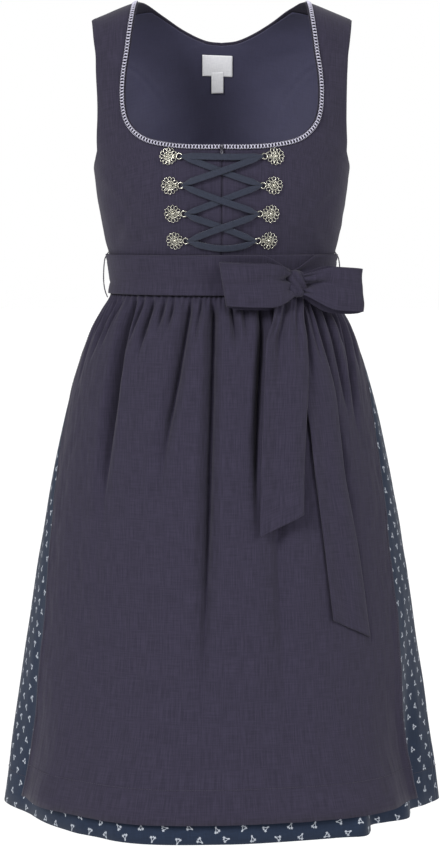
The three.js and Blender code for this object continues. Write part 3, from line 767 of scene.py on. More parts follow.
def ring_faces(count: int, sides: int, closed: bool = False) -> list[tuple[int, ...]]:
    """The faces between rings of points, with a face over each open end.

    Args:
        count: How many rings.
        sides: How many points each has.
        closed: Whether the last ring meets the first.

    Returns:
        The faces' point numbers.
    """
    faces: list[tuple[int, ...]] = []
    for i in range(count if closed else count - 1):
        j = (i + 1) % count
        for k in range(sides):
            m = (k + 1) % sides
            faces.append((i * sides + k, i * sides + m, j * sides + m, j * sides + k))
    if not closed:
        faces.append(tuple(reversed(range(sides))))
        faces.append(tuple((count - 1) * sides + k for k in range(sides)))
    return faces


def circle(steps: int) -> np.ndarray:
    """Points round a circle of radius 1 about the z axis."""
    turn = np.arange(steps) * 2 * math.pi / steps
    return np.stack([np.cos(turn), np.sin(turn), 0 * turn], axis=-1)


def tube(
    path: np.ndarray, radius: float, sides: int = 6, closed: bool = False
) -> tuple[np.ndarray, list]:
    """A round tube along a path.

    Args:
        path: The middle line's points.
        radius: The tube's radius.
        sides: How many sides its section has.
        closed: Whether the path runs back to its start.

    Returns:
        The points and the faces.
    """
    path = np.asarray(path, float)
    ahead = np.roll(path, -1, axis=0) - np.roll(path, 1, axis=0)
    if not closed:
        ahead[0] = path[1] - path[0]
        ahead[-1] = path[-1] - path[-2]
    ahead /= np.linalg.norm(ahead, axis=1, keepdims=True)
    normal = np.cross(ahead[0], (0.31, 0.27, 0.91))
    normals = []
    for direction in ahead:
        normal = normal - direction * normal.dot(direction)
        normal = normal / np.linalg.norm(normal)
        normals.append(normal)
    side_a = np.array(normals)
    side_b = np.cross(ahead, side_a)
    cos, sin, _ = circle(sides).T[..., None]
    ring = side_a[:, None] * cos + side_b[:, None] * sin
    points = (path[:, None] + radius * ring).reshape(-1, 3)
    return points, ring_faces(len(path), sides, closed)


def joined(parts: Sequence[tuple[np.ndarray, list]]) -> tuple[np.ndarray, list]:
    """Put several sets of points and faces into one.

    Args:
        parts: The sets.

    Returns:
        The points and the faces.
    """
    points, faces, start = [], [], 0
    for part_points, part_faces in parts:
        points.append(np.asarray(part_points, float))
        faces += [tuple(start + i for i in f) for f in part_faces]
        start += len(part_points)
    return np.concatenate(points), faces


def lathe(profile: Sequence[tuple[float, float]], steps: int) -> tuple[np.ndarray, list]:
    """Turn a profile round the z axis, closed at both ends on the axis.

    Args:
        profile: Radius and height of each point, from the bottom to the top.
        steps: How many steps round.

    Returns:
        The points and the faces.
    """
    points = np.concatenate([circle(steps) * r + (0, 0, h) for r, h in profile])
    return points, ring_faces(len(profile), steps)


class RepeatTree:
    """A Geometry Nodes tree that sets a motif at even steps along a path on a surface."""

    tree: bpy.types.NodeTree | None = None

    @classmethod
    def build(cls) -> bpy.types.NodeTree:
        """Build the tree once.

        Returns:
            The tree, with inputs for the spacing, the motif, its finish and its unevenness.
        """
        if cls.tree:
            return cls.tree
        tree = bpy.data.node_groups.new("repeat along a path", "GeometryNodeTree")
        sockets = (
            ("Geometry", "Geometry"),
            ("Spacing", "Float"),
            ("Motif", "Object"),
            ("Finish", "Material"),
            ("Unevenness", "Float"),
        )
        for name, kind in sockets:
            tree.interface.new_socket(name, in_out="INPUT", socket_type="NodeSocket" + kind)
        tree.interface.new_socket("Geometry", in_out="OUTPUT", socket_type="NodeSocketGeometry")
        given = add_node(tree, "NodeGroupInput").outputs
        curve = add_node(tree, "GeometryNodeMeshToCurve", {0: given[0]})
        even = add_node(
            tree, "GeometryNodeResampleCurve", {"Curve": curve, "Length": given[1]}, mode="LENGTH"
        )
        spots = add_node(tree, "GeometryNodeCurveToPoints", {0: even}, mode="EVALUATED")
        facing = add_node(
            tree, "GeometryNodeInputNamedAttribute", {"Name": FACING}, data_type="FLOAT_VECTOR"
        )
        up = add_node(tree, "FunctionNodeAlignRotationToVector", {"Vector": facing}, axis="Z")
        along = add_node(
            tree,
            "FunctionNodeAlignRotationToVector",
            {"Rotation": up, "Vector": spots.outputs["Tangent"]},
            axis="X",
            pivot_axis="Z",
        )
        motif = add_node(tree, "GeometryNodeObjectInfo", {"Object": given[2]})
        low = add_node(tree, "ShaderNodeMath", {0: 1.0, 1: given[4]}, operation="SUBTRACT")
        high = add_node(tree, "ShaderNodeMath", {0: 1.0, 1: given[4]}, operation="ADD")
        size = add_node(
            tree,
            "FunctionNodeRandomValue",
            {"Min": low, "Max": high, "Seed": 4},
            data_type="FLOAT_VECTOR",
        )
        placed = add_node(
            tree,
            "GeometryNodeInstanceOnPoints",
            {
                "Points": spots,
                "Instance": motif.outputs["Geometry"],
                "Rotation": along,
                "Scale": size,
            },
        )
        real = add_node(tree, "GeometryNodeRealizeInstances", {0: placed})
        dressed = add_node(
            tree, "GeometryNodeSetMaterial", {"Geometry": real, "Material": given[3]}
        )
        add_node(tree, "NodeGroupOutput", {0: dressed})
        cls.tree = tree
        return tree


def repeat_along(
    name: str,
    paths: Sequence[tuple[np.ndarray, np.ndarray]],
    spacing: float,
    motif: tuple[np.ndarray, list],
    finish: WovenFinish | MetalFinish,
    unevenness: float = 0.0,
    closed: bool = False,
) -> bpy.types.Object:
    """Set a motif at even steps along paths, with its z axis out of the surface.

    Args:
        name: The object's name.
        paths: For each path, its points and the surface's normals there.
        spacing: The step in millimetres.
        motif: The motif's points and faces, in millimetres.
        finish: The motif's finish.
        unevenness: How much the motif's size varies, as a share.
        closed: Whether each path runs back to its start.

    Returns:
        The object, a plain mesh.
    """
    points = np.concatenate([p for p, _ in paths])
    edges, start = [], 0
    for path, _ in paths:
        edges += [(start + i, start + i + 1) for i in range(len(path) - 1)]
        if closed:
            edges.append((start + len(path) - 1, start))
        start += len(path)
    mesh = bpy.data.meshes.new(name)
    mesh.from_pydata((points * MM).tolist(), edges, [])
    facing = mesh.attributes.new(FACING, "FLOAT_VECTOR", "POINT")
    facing.data.foreach_set("vector", np.concatenate([n for _, n in paths]).ravel())
    piece = put(name, mesh)
    pattern = mesh_object(name + "_motif", *motif, finish)
    tree = RepeatTree.build()
    modifier = piece.modifiers.new("repeat", "NODES")
    modifier.node_group = tree
    values = {
        "Spacing": spacing * MM,
        "Motif": pattern,
        "Finish": Wardrobe.material(finish),
        "Unevenness": unevenness,
    }
    for socket in tree.interface.items_tree:
        if socket.in_out == "INPUT" and socket.name in values:
            modifier[socket.identifier] = values[socket.name]
    piece.update_tag()
    bpy.context.view_layer.update()
    graph = bpy.context.evaluated_depsgraph_get()
    real = bpy.data.meshes.new_from_object(piece.evaluated_get(graph))
    piece.modifiers.clear()
    piece.data = real
    real.name = name
    bpy.data.objects.remove(pattern)
    if not real.polygons:
        raise RuntimeError(f"{name}: nothing was set along the path")
    return piece


def stitch(length: float, radius: float = 0.28) -> tuple[np.ndarray, list]:
    """One stitch: a short thread along x that dips into the cloth at both ends."""
    bend = [(-0.5, -0.35), (-0.36, 0.12), (0, 0.25), (0.36, 0.12), (0.5, -0.35)]
    return tube(np.array([(x * length, 0, z) for x, z in bend]), radius, 5)


@dataclass
class Form:
    """The dress's own form: the bodice above the waist seam and the skirt below it."""

    neck_point_x: float = 101.5
    shoulder_slope: float = 0.42
    arch_height: float = 60.0
    waist_z: float = -345.0
    waist: tuple[float, float, float] = (134.5, 102.0, 90.0)
    apron_hem_z: float = -973.0
    skirt_hem_z: float = -997.0
    front_flare: float = 24.0
    torso: Table = Table(
        "z width front back power",
        (-345, 134.5, 102, 90, 2),
        (-315, 139, 107, 92, 2),
        (-293, 144.7, 113, 94, 2.03),
        (-266, 149.7, 119, 97, 2.2),
        (-232, 155, 121, 100, 2.4),
        (-209, 157.6, 118, 102, 2.4),
        (-182, 160, 112, 103, 2.4),
        (-124, 165, 95, 101, 2.4),
        (-77, 169.5, 77, 93, 2.4),
        (-36, 173, 63, 78, 2.4),
        (0, 177, 52, 60, 2.4),
    )
    skirt: Table = Table(
        "z width",
        (-345, 134.5),
        (-364, 139),
        (-381, 149.5),
        (-402, 161),
        (-450, 178.6),
        (-502, 192.6),
        (-576, 209.2),
        (-666, 225.4),
        (-792, 245.6),
        (-926, 266.2),
        (-997, 276),
    )

    def bodice_point(self, half: Half, x: Any, z: Any) -> np.ndarray:
        """A point of the bodice.

        Args:
            half: The front or the back.
            x: Distance from the centre.
            z: The height at which its ring meets the neck.

        Returns:
            The points.
        """
        width = self.torso("width", z)
        power = self.torso("power", z)
        across = np.minimum(np.abs(x) / width, 1)
        rounding = np.maximum(1 - across**power, 0) ** (1 / power)
        under = (self.arch_height + np.maximum(z, -self.arch_height)) / self.arch_height
        share = np.sqrt(np.maximum(1 - under**4, 0))
        y = self.torso(half.value, z) * share * rounding + SEAM
        past = np.abs(x) - self.neck_point_x
        slope = 8 * np.log1p(np.exp(past / 8)) * ease(z, -110, 0)
        sign = -1 if half is Half.FRONT else 1
        x, y, z = np.broadcast_arrays(x, sign * y, z - self.shoulder_slope * slope)
        return np.stack([x, y, z], axis=-1)

    def ring_point(
        self, angle: Any, z: Any, width: Any, front: Any, back: Any, out: Any
    ) -> np.ndarray:
        """A point outside an oval ring.

        Args:
            angle: Degrees round from the centre front.
            z: The height.
            width: Half the ring's width.
            front: Its depth in front of the side seams.
            back: Its depth behind them.
            out: How far outside the ring the point lies.

        Returns:
            The points.
        """
        turn = np.radians(angle)
        sin, cos = np.sin(turn), np.cos(turn)
        depth = np.where(cos > 0, front, back)
        nx, ny = sin / width, -cos / depth
        size = np.hypot(nx, ny)
        x, y = width * sin + out * nx / size, -depth * cos + out * ny / size
        x, y, z = np.broadcast_arrays(x, y, z)
        return np.stack([x, y, z], axis=-1)

    def skirt_point(self, angle: Any, z: Any, out: Any) -> np.ndarray:
        """A point outside the skirt's outline.

        Args:
            angle: Degrees round from the centre front.
            z: The height.
            out: How far outside it the point lies.

        Returns:
            The points.
        """
        width = self.skirt("width", z)
        grown = width - self.waist[0]
        flare = self.front_flare * np.clip((z + 450) / (self.skirt_hem_z + 450), 0, 1) ** 1.3
        swing = 14 * gather(angle + 24, 24) * ease(z, -780, self.skirt_hem_z)
        front = self.waist[1] + 0.87 * grown + flare
        return self.ring_point(angle, z, width, front, self.waist[2] + 0.96 * grown, out + swing)

    def waist_point(self, angle: Any, z: Any, out: Any) -> np.ndarray:
        """A point outside the waist, with the same arguments as skirt_point."""
        held = np.maximum(z, self.waist_z)
        spread = 2.5 * ease(z, self.waist_z, -364.0)
        sizes = (self.torso(name, held) + spread for name in ("width", "front", "back"))
        return self.ring_point(angle, z, *sizes, out)

    def front_frame(self, x: float, z: float, lift: float) -> Matrix:
        """The frame of the bodice front at a place, in millimetres.

        Args:
            x: Distance from the centre.
            z: The height.
            lift: How far outside the bodice its origin lies.

        Returns:
            The frame: x across the front, y up along it and z out of it.
        """
        here = self.bodice_point(Half.FRONT, x, z)
        place = self.bodice_point
        across = place(Half.FRONT, x + 2, z) - place(Half.FRONT, x - 2, z)
        up = place(Half.FRONT, x, z + 2) - place(Half.FRONT, x, z - 2)
        across /= np.linalg.norm(across)
        out = np.cross(across, up / np.linalg.norm(up))
        out /= np.linalg.norm(out)
        axes = np.column_stack([across, np.cross(out, across), out])
        matrix = Matrix(axes.tolist()).to_4x4()
        matrix.translation = Vector(here + lift * out)
        return matrix


def set_in(points: np.ndarray, matrix: Matrix) -> np.ndarray:
    """Points moved into a frame."""
    m = np.array(matrix)
    return np.asarray(points) @ m[:3, :3].T + m[:3, 3]


@dataclass
class BodicePanel:
    """Half a bodice panel, made of rows between its edges.

    A row runs from the centre, the neckline or a seam ("in") to the side seam, the armhole or
    a seam ("out"). SIDE marks an end on the side seam.
    """

    half: Half
    rows: Sequence[tuple[float, float, float, float]]
    in_corner: int
    out_corner: int
    inner: float = 0.0
    outer: float = 0.0
    columns: int = 60
    steps: int = 10

    SIDE = 999.0

    def grid(self, form: Form, side: Side) -> Grid:
        """The panel's sheet.

        Args:
            form: The dress's form.
            side: Which side it is for.

        Returns:
            The sheet, with its columns running so that it faces outwards.
        """
        in_x = [r[0] + self.inner for r in self.rows]
        out_angle = [
            math.pi / 2
            if r[2] == self.SIDE
            else math.asin(min((r[2] - self.outer) / float(form.torso("width", r[3])), 1))
            for r in self.rows
        ]
        edges = [
            cornered(in_x, self.in_corner),
            cornered([r[1] for r in self.rows], self.in_corner),
            cornered(out_angle, self.out_corner),
            cornered([r[3] for r in self.rows], self.out_corner),
        ]
        at = np.linspace(0, len(self.rows) - 1, (len(self.rows) - 1) * self.steps + 1)[:, None]
        in_x, in_z, out_turn, out_z = (edge(at) for edge in edges)
        in_x = np.maximum(in_x, self.inner)
        u = np.linspace(0, 1, self.columns + 1)[None, :]
        z = np.minimum(mix(in_z, out_z, u), 0)
        start = np.arcsin(np.minimum(in_x / form.torso("width", in_z), 1))
        angle = mix(start, np.minimum(out_turn, math.pi / 2), u)
        x = form.torso("width", z) * np.sin(angle)
        points = form.bodice_point(self.half, side.value * x, z)
        across = cloth_lengths(points, 1)
        along = cloth_lengths(points, 0)[:, :1]
        cloth = paired(side.value * (across + in_x * MM), along)
        grid = Grid(points, cloth)
        if (self.half is Half.FRONT) != (side is Side.RIGHT):
            grid = Grid(points[:, ::-1], cloth[:, ::-1])
        return grid


def rolled(grid: Grid, depth: float, reach: float, ends: tuple[bool, bool] = (True, True)) -> Grid:
    """Let a sheet's side edges roll inwards, as cloth does where it is turned under.

    Args:
        grid: The sheet.
        depth: How far its edges go in.
        reach: How far from the edge the roll starts.
        ends: Whether the first and the last column roll.

    Returns:
        The rolled sheet.
    """
    run = cloth_lengths(grid.points, 1) / MM
    total = np.zeros(run.shape)
    if ends[0]:
        total += np.exp(-((run / reach) ** 2))
    if ends[1]:
        total += np.exp(-(((run[:, -1:] - run) / reach) ** 2))
    return grid.moved(-depth * total)


def meet(halves: Sequence[Grid], reach: float) -> None:
    """Bring the inner edges of a left and a right half together on the centre line.

    Args:
        halves: The two sheets, whose points are changed.
        reach: How near an edge's point lies to the centre line to be brought onto it.
    """
    left, right = halves[0].points[:, 0].copy(), halves[1].points[:, -1].copy()
    held = (np.abs(left[:, 0]) < reach)[:, None]
    halves[0].points[:, 0] = np.where(held, (left + right) / 2, left)
    halves[1].points[:, -1] = np.where(held, (left + right) / 2, right)


@dataclass
class Crease:
    """A soft trough across a surface, between two places in its own sizes."""

    x0: float
    z0: float
    x1: float
    z1: float
    width: float
    depth: float


def creased(x: np.ndarray, z: np.ndarray, creases: Sequence[Crease]) -> np.ndarray:
    """How far the creases press a surface in.

    Args:
        x: Places across it.
        z: Places along it.
        creases: The creases.

    Returns:
        The depth at each place.
    """
    total = np.zeros(np.broadcast(x, z).shape)
    for c in creases:
        run = math.hypot(c.x1 - c.x0, c.z1 - c.z0)
        ux, uz = (c.x1 - c.x0) / run, (c.z1 - c.z0) / run
        t = ((x - c.x0) * ux + (z - c.z0) * uz) / run
        off = (x - c.x0) * uz - (z - c.z0) * ux
        taper = np.clip(1 - np.abs(2 * t - 1) ** 2.5, 0, 1)
        total += c.depth * taper * np.exp(-((off / c.width) ** 2)) * (np.abs(t - 0.5) < 0.5)
    return total


@dataclass
class Bodice:
    """The bodice: two fronts, a back in three panels, its lining and the neck label."""

    form: Form
    linen: float = 1.2
    lining: float = 0.8
    lining_gap: float = 1.8
    label: float = 0.5
    label_offset: float = -5.5
    labels: tuple = (
        ("neck_label_cloth", 38, -63, 26, 0.0, -0.7), ("size_tab_cloth", 15, -84, 26, 0.7, 0.2)
    )
    front_rows: tuple = (
        (0, -345, 999, -345),
        (0, -310, 999, -317),
        (0, -266, 999, -288),
        (0, -220, 999, -262),
        (0, -179, 999, -238),
        (30, -179, 999, -222),
        (60, -177, 999, -209),
        (88, -171, 154.4, -192),
        (105, -159, 153.2, -174),
        (113.5, -143, 152.7, -154),
        (116.3, -119, 152.7, -126),
        (115, -92, 153.3, -95),
        (111.4, -66, 154.4, -66),
        (108.3, -40, 156.4, -40),
        (105.5, -20, 158, -20),
        (103.5, -7, 159.2, -7),
        (102.1, -1.5, 159.8, -1.5),
        (101.5, 0, 160, 0),
    )
    back_rows: tuple = (
        (0, -345, 46, -345),
        (0, -296, 49, -297),
        (0, -246, 54, -249),
        (0, -196, 60, -201),
        (0, -150, 67, -156),
        (0, -112, 80, -119),
        (0, -78, 103, -90),
        (0, -47, 130, -73),
        (20, -44.5, 155.8, -64),
        (44, -34, 157, -42),
        (68, -19, 158.2, -22),
        (84.5, -8, 159.2, -8),
        (95, -2, 159.8, -2),
        (101.5, 0, 160, 0),
    )
    side_back_rows: tuple = (
        (46, -345, 999, -345),
        (49, -297, 999, -310),
        (54, -249, 999, -276),
        (60, -201, 999, -242),
        (67, -156, 999, -209),
        (80, -119, 155.2, -176),
        (103, -90.7, 155, -136),
        (130, -74.2, 155.2, -100),
        (154.5, -66.8, 155.7, -71),
    )
    lining_rows: tuple = (
        (0, -345, 999, -345),
        (0, -285, 999, -301),
        (0, -225, 999, -257),
        (0, -170, 999, -211),
        (0, -128, 153.5, -177),
        (0, -98, 152.5, -145),
        (0, -72, 152.5, -114),
        (0, -50, 153, -84),
        (20, -47.5, 154, -60),
        (44, -37, 155, -40),
        (68, -22, 156, -24),
        (88, -9, 157, -11),
    )
    front_creases: tuple = (
        Crease(138, -205, 96, -262, 7, 1.6),
        Crease(146, -226, 112, -272, 6, 1.3),
        Crease(128, -240, 86, -300, 8, 1.2),
        Crease(120, -306, 76, -282, 6, 1.1),
        Crease(134, -312, 118, -262, 7, 1.2),
        Crease(102, -196, 84, -232, 7, 0.9),
        Crease(147, -140, 124, -182, 7, 1.3),
        Crease(30, -308, 22, -250, 8, 0.8),
    )
    back_creases: tuple = (
        Crease(10, -300, 60, -314, 6, 1.4),
        Crease(70, -292, 120, -304, 6, 1.5),
        Crease(20, -318, 90, -330, 5, 1.0),
        Crease(128, -118, 96, -160, 8, 1.2),
        Crease(136, -190, 100, -232, 8, 1.3),
        Crease(40, -120, 12, -190, 10, 0.8),
    )

    def cushion(
        self, grid: Grid, creases: Sequence[Crease], seed: int, amount: float = 0.35
    ) -> Grid:
        """Give a panel its creases and low waves.

        Args:
            grid: The panel's sheet.
            creases: Its creases.
            seed: Which waves.
            amount: The waves' height.

        Returns:
            The sheet with them.
        """
        x, z = np.abs(grid.points[..., 0]), grid.points[..., 2]
        waves = crumple(grid.cloth[..., 0] / MM, grid.cloth[..., 1] / MM, 46, seed)
        return grid.moved(amount * waves - creased(x, z, creases) - amount)

    def fronts(self) -> None:
        """The two front panels."""
        panel = BodicePanel(Half.FRONT, self.front_rows, 4, 6, inner=SEAM, columns=72, steps=9)
        for side in Side:
            grid = self.cushion(panel.grid(self.form, side), self.front_creases, 3 + side.value)
            grid = rolled(grid, 0.7, 1.8)
            name = "bodice_front_" + side.word
            sewn(name + "_cloth", [grid], LINEN, self.linen, [name])

    def backs(self) -> None:
        """The centre back and the two side backs."""
        middle = BodicePanel(Half.BACK, self.back_rows, 7, 8, outer=SEAM, columns=44, steps=9)
        side_back = BodicePanel(
            Half.BACK, self.side_back_rows, 0, 4, inner=SEAM, columns=48, steps=11
        )
        halves = []
        for side in Side:
            grid = self.cushion(middle.grid(self.form, side), self.back_creases, 8)
            first = side is Side.RIGHT
            halves.append(rolled(grid, 0.6, 1.8, (first, not first)))
        meet(halves, 0.5)
        centre = ["bodice_back"]
        sewn("bodice_back_cloth", halves, LINEN, self.linen, centre)
        for side in Side:
            grid = self.cushion(side_back.grid(self.form, side), self.back_creases, 12 + side.value)
            grid = rolled(grid, 0.6, 1.8)
            name = "bodice_side_back_" + side.word
            sewn(name + "_cloth", [grid], LINEN, self.linen, [name])

    def seam_line(self) -> np.ndarray:
        """The curved back seam as close points of distance and height."""
        order = np.arange(9)
        x = Curve(order, [r[2] for r in self.back_rows[:9]])
        z = Curve(order, [r[3] for r in self.back_rows[:9]])
        at = np.linspace(0, 8, 161)
        return np.stack([x(at), z(at)], axis=-1)

    def build_lining(self) -> None:
        """The lining, with the ridge of its curved seams."""
        panel = BodicePanel(Half.BACK, self.lining_rows, 7, 3, columns=50, steps=9)
        seam = self.seam_line()
        halves = []
        for side in Side:
            grid = panel.grid(self.form, side)
            x, z = np.abs(grid.points[..., 0]), grid.points[..., 2]
            gaps = np.hypot(x[..., None] - seam[:, 0], z[..., None] - seam[:, 1]).min(axis=-1)
            relief = 0.9 * np.exp(-((gaps / 1.3) ** 2)) - 0.5 * np.exp(-(((gaps - 5) / 3.5) ** 2))
            waves = 0.5 * crumple(grid.cloth[..., 0] / MM, grid.cloth[..., 1] / MM, 60, 21)
            halves.append(grid.moved(-self.linen - self.lining_gap + relief + waves))
        meet(halves, 1.5)
        nodes, under = ["back_lining"], ["bodice_back"]
        sewn("back_lining_cloth", halves, LINING, self.lining, nodes)

    def build_label(self) -> None:
        """The bare neck label with its size tab, sewn down at its two ends."""
        depth = self.linen + self.lining_gap + self.lining + 1.9
        for name, width, top, height, extra, tilt in self.labels:
            u = np.linspace(-0.5, 0.5, 25)[None, :]
            v = np.linspace(0, 1, 19)[:, None]
            x = self.label_offset + u * width + 0 * v
            z = top - height * (1 - v) + tilt * 2 * u
            bulge = 0.8 * np.cos(math.pi * u) * np.sin(math.pi * v)
            points = self.form.bodice_point(Half.BACK, x, z)
            points[..., 1] -= depth + extra + bulge
            cloth = paired(u * width * MM, v * height * MM)
            sewn(name, [Grid(points, cloth)], LABEL, self.label, ["neck_label"])

    def build(self) -> None:
        """Build the whole bodice."""
        self.fronts()
        self.backs()
        self.build_lining()
        self.build_label()


@dataclass
class NeckBraid:
    """A dark braid with small crosses of cord, along the front neckline."""

    form: Form
    bodice: Bodice
    width: float = 6.6
    pitch: float = 3.9
    thickness: float = 0.7
    end: float = 12.2

    def line(
        self, side: Side, inset: Any, count: int, start: float = 0.08
    ) -> tuple[np.ndarray, np.ndarray]:
        """Points along the neckline at a distance in from its edge.

        Args:
            side: The side of the front.
            inset: One distance, or one for each point.
            count: How many points.
            start: How far along the panel's first row the braid begins.

        Returns:
            The points and the front's normals there.
        """
        rows = self.bodice.front_rows[4:]
        x_edge = Curve(range(len(rows)), [r[0] for r in rows])
        z_edge = Curve(range(len(rows)), [r[1] for r in rows])
        dense = np.linspace(start, self.end, 900)
        lengths = np.hypot(np.diff(x_edge(dense)), np.diff(z_edge(dense)))
        run = np.concatenate([[0], np.cumsum(lengths)])
        at = np.interp(np.linspace(0, run[-1], count), run, dense)
        step = 0.02
        dx, dz = x_edge(at + step) - x_edge(at - step), z_edge(at + step) - z_edge(at - step)
        size = np.hypot(dx, dz)
        x = np.maximum(x_edge(at) + inset * dz / size, 1.6)
        z = np.minimum(z_edge(at) - inset * dx / size, -0.05)
        points = self.form.bodice_point(Half.FRONT, x, z)
        place = self.form.bodice_point
        across = place(Half.FRONT, x + 1, z) - place(Half.FRONT, x - 1, z)
        along = points - place(Half.FRONT, x, np.minimum(z - 1, -0.1))
        normal = np.cross(across, along)
        normal /= np.maximum(np.linalg.norm(normal, axis=1, keepdims=True), 1e-9)
        flip = np.array([side.value, 1, 1])
        return points * flip, normal * flip

    def build(self) -> None:
        """Build the ground and the row of crosses on each side."""
        for side in Side:
            count = 170
            lines = [self.line(side, 0.5 + k * self.width / 6, count) for k in range(7)]
            points = np.stack([p + self.thickness * n for p, n in lines], axis=0)
            run = cloth_lengths(points, 1)
            grid = Grid(points, paired(run, np.linspace(0, self.width * MM, 7)[:, None]))
            if side is Side.RIGHT:
                grid = Grid(grid.points[::-1], grid.cloth[::-1])
            name = "neck_braid_" + side.word
            ground = cloth_object(name + "_ground", [grid], BRAID_GROUND, self.thickness)
            hand_over(ground, [name])
            bars = []
            for sign in (1, -1):
                dx, dy, rise = 0.31, 0.4 * sign, 0.55 + 0.25 * sign
                ends = np.array([(-dx, -dy, 0.1), (0, 0, rise), (dx, dy, 0.1)])
                bars.append(tube(ends * (self.pitch, self.width, 1), 0.42, 6))
            middle, normal = self.line(side, 0.5 + self.width / 2, 400, 0.125)
            path = (middle + 0.9 * normal, normal)
            crosses = repeat_along(name + "_crosses", [path], self.pitch, joined(bars), BRAID)
            hand_over(crosses, [name])


@dataclass
class Hooks:
    """Eight cast hooks: a pierced flower with a beaded dome, and an eyelet for the lacing."""

    form: Form
    lift: float = 0.5
    diameter: float = 21.0
    petals: int = 12
    eye_radius: float = 3.5
    eye_wire: float = 0.75
    rows: tuple = (
        (-194.2, 63.8, 50.2),
        (-228.8, 61.9, 48.3),
        (-262.1, 58.2, 44.4),
        (-294.2, 56.0, 42.0),
    )

    def casting(self, eye_offset: float) -> tuple[np.ndarray, list]:
        """One hook's heart, rings and eyelet, flat on the plane z = 0.

        Args:
            eye_offset: How far along x the eyelet lies.

        Returns:
            The points and the faces.
        """
        radius = self.diameter / 2
        heart = lathe([(1.9, 0.5), (2.1, 1.2), (1.9, 2.0), (1.3, 2.7), (0.6, 3.0), (0.01, 3.1)], 20)
        ring = circle(32)
        inner = tube(ring * 2.5 + (0, 0, 0.8), 0.4, 6, True)
        middle = tube(ring * 5.0 + (0, 0, 0.9), 0.38, 6, True)
        wire = self.eye_wire
        eye = tube(ring * self.eye_radius + (eye_offset, 0, wire + 0.5), wire, 8, True)
        start = math.copysign(radius - 5.6, eye_offset)
        end = eye_offset - math.copysign(self.eye_radius, eye_offset)
        spine = np.array([(start, 0, 0.8), ((start + end) / 2, 0, 0.9), (end, 0, 1.2)])
        bridge = tube(spine, 0.6, 8)
        return joined([heart, inner, middle, eye, bridge])

    def petal(
        self, length: float, breadth: float, wire: float, bead: float
    ) -> tuple[np.ndarray, list]:
        """An open petal of wire, broad at its outer end along -y, with a bead at its tip.

        Args:
            length: Half its length.
            breadth: Half its breadth.
            wire: The wire's radius.
            bead: The bead's radius.

        Returns:
            The points and the faces.
        """
        cos, sin, _ = circle(16).T
        rise = 0.9 + 0.3 * sin**2
        path = np.stack([breadth * sin * (1 - 0.45 * cos), length * cos, rise], axis=-1)
        ball = lathe([(0.01, -0.9), (0.75, -0.5), (1, 0), (0.75, 0.6), (0.01, 0.9)], 7)
        tip = (ball[0] * bead + np.array([0, -length - 0.1, 1.0]), ball[1])
        return joined([tube(path, wire, 5, True), tip])

    def build(self) -> None:
        """Build the eight hooks and set them on the fronts."""
        ring = circle(96)
        up = np.broadcast_to((0.0, 0.0, 1.0), ring.shape)
        extras = []
        for radius, count, petal in (
            (7.7, self.petals, self.petal(2.6, 1.75, 0.4, 0.72)),
            (3.75, 7, self.petal(1.25, 1.2, 0.33, 0.45)),
        ):
            step = 2 * math.pi * radius / count
            loops = repeat_along("petals", [(ring * radius, up)], step, petal, SILVER, closed=True)
            own = np.array([v.co for v in loops.data.vertices]) / MM
            extras.append((own, [tuple(p.vertices) for p in loops.data.polygons]))
            bpy.data.objects.remove(loops)
        for row, (z, rosette, eye) in enumerate(self.rows, 1):
            for side in Side:
                offset = side.value * (eye - rosette)
                points, faces = joined([self.casting(offset), *extras])
                matrix = self.form.front_frame(side.value * rosette, z, self.lift)
                name = f"hook_{side.word}_{row}"
                piece = mesh_object(name + "_casting", set_in(points, matrix), faces, SILVER)
                hand_over(piece, [name])


@dataclass
class Lacing:
    """One flat ribbon, crossed from eyelet to eyelet down the front."""

    form: Form
    hooks: Hooks
    width: float = 7.6
    thickness: float = 0.8
    strands: tuple = (
        ((-1, 0), (1, 0), 2.6, 1.5),
        ((-1, 0), (1, 1), 1.2, 0.4),
        ((-1, 1), (1, 0), 4.0, 0.0),
        ((-1, 1), (1, 2), 2.8, 0.3),
        ((-1, 2), (1, 1), 1.2, 0.3),
        ((-1, 2), (1, 3), 1.2, 0.3),
        ((-1, 3), (1, 2), 2.8, 0.3),
        ((-1, 3), (1, 3), 1.6, 9.0),
    )

    def strand(self, start: tuple, end: tuple, cross: float, sag: float, seed: int) -> Grid:
        """One strand, which dips into its two eyelets.

        Args:
            start: The side and row of its first eyelet.
            end: The side and row of its second.
            cross: Its height over the bodice in the middle.
            sag: How far it hangs down there.
            seed: Its own unevenness.

        Returns:
            The strand's sheet.
        """
        ends = [
            (side * self.hooks.rows[row][2], self.hooks.rows[row][0]) for side, row in (start, end)
        ]
        (x0, z0), (x1, z1) = ends
        run = math.hypot(x1 - x0, z1 - z0)
        u = np.linspace(0, 1, 81)[None, :]
        v = np.linspace(-1, 1, 9)[:, None]
        far = np.minimum(u, 1 - u) * run
        half = mix(1.5, self.width / 2, ease(far, 1, 15)) * v
        wander = 0.5 * np.sin(u * 5 + seed)
        x = mix(x0, x1, u) - half * (z1 - z0) / run
        hang = sag * np.sin(math.pi * u) - wander * ease(far, 0, 20)
        z = mix(z0, z1, u) + half * (x1 - x0) / run - hang
        curl = (0.9 * (1 - ease(far, 2, 17)) + 0.15) * v**2
        lift = mix(mix(0.9, 3.5, ease(far, 0.4, 3.0)), cross + 0.4, ease(far, 6, 30)) - curl
        base = self.form.bodice_point(Half.FRONT, x, z)
        grid = Grid(base, paired(u * run * MM, v * self.width / 2 * MM))
        return grid.moved(lift + self.thickness)

    def build(self) -> None:
        """Build the strands, and hand them over as one ribbon."""
        grids = [self.strand(*row, seed=i) for i, row in enumerate(self.strands)]
        ribbon = cloth_object("lacing_ribbon", grids, RIBBON, self.thickness)
        hand_over(ribbon, ["lacing"])


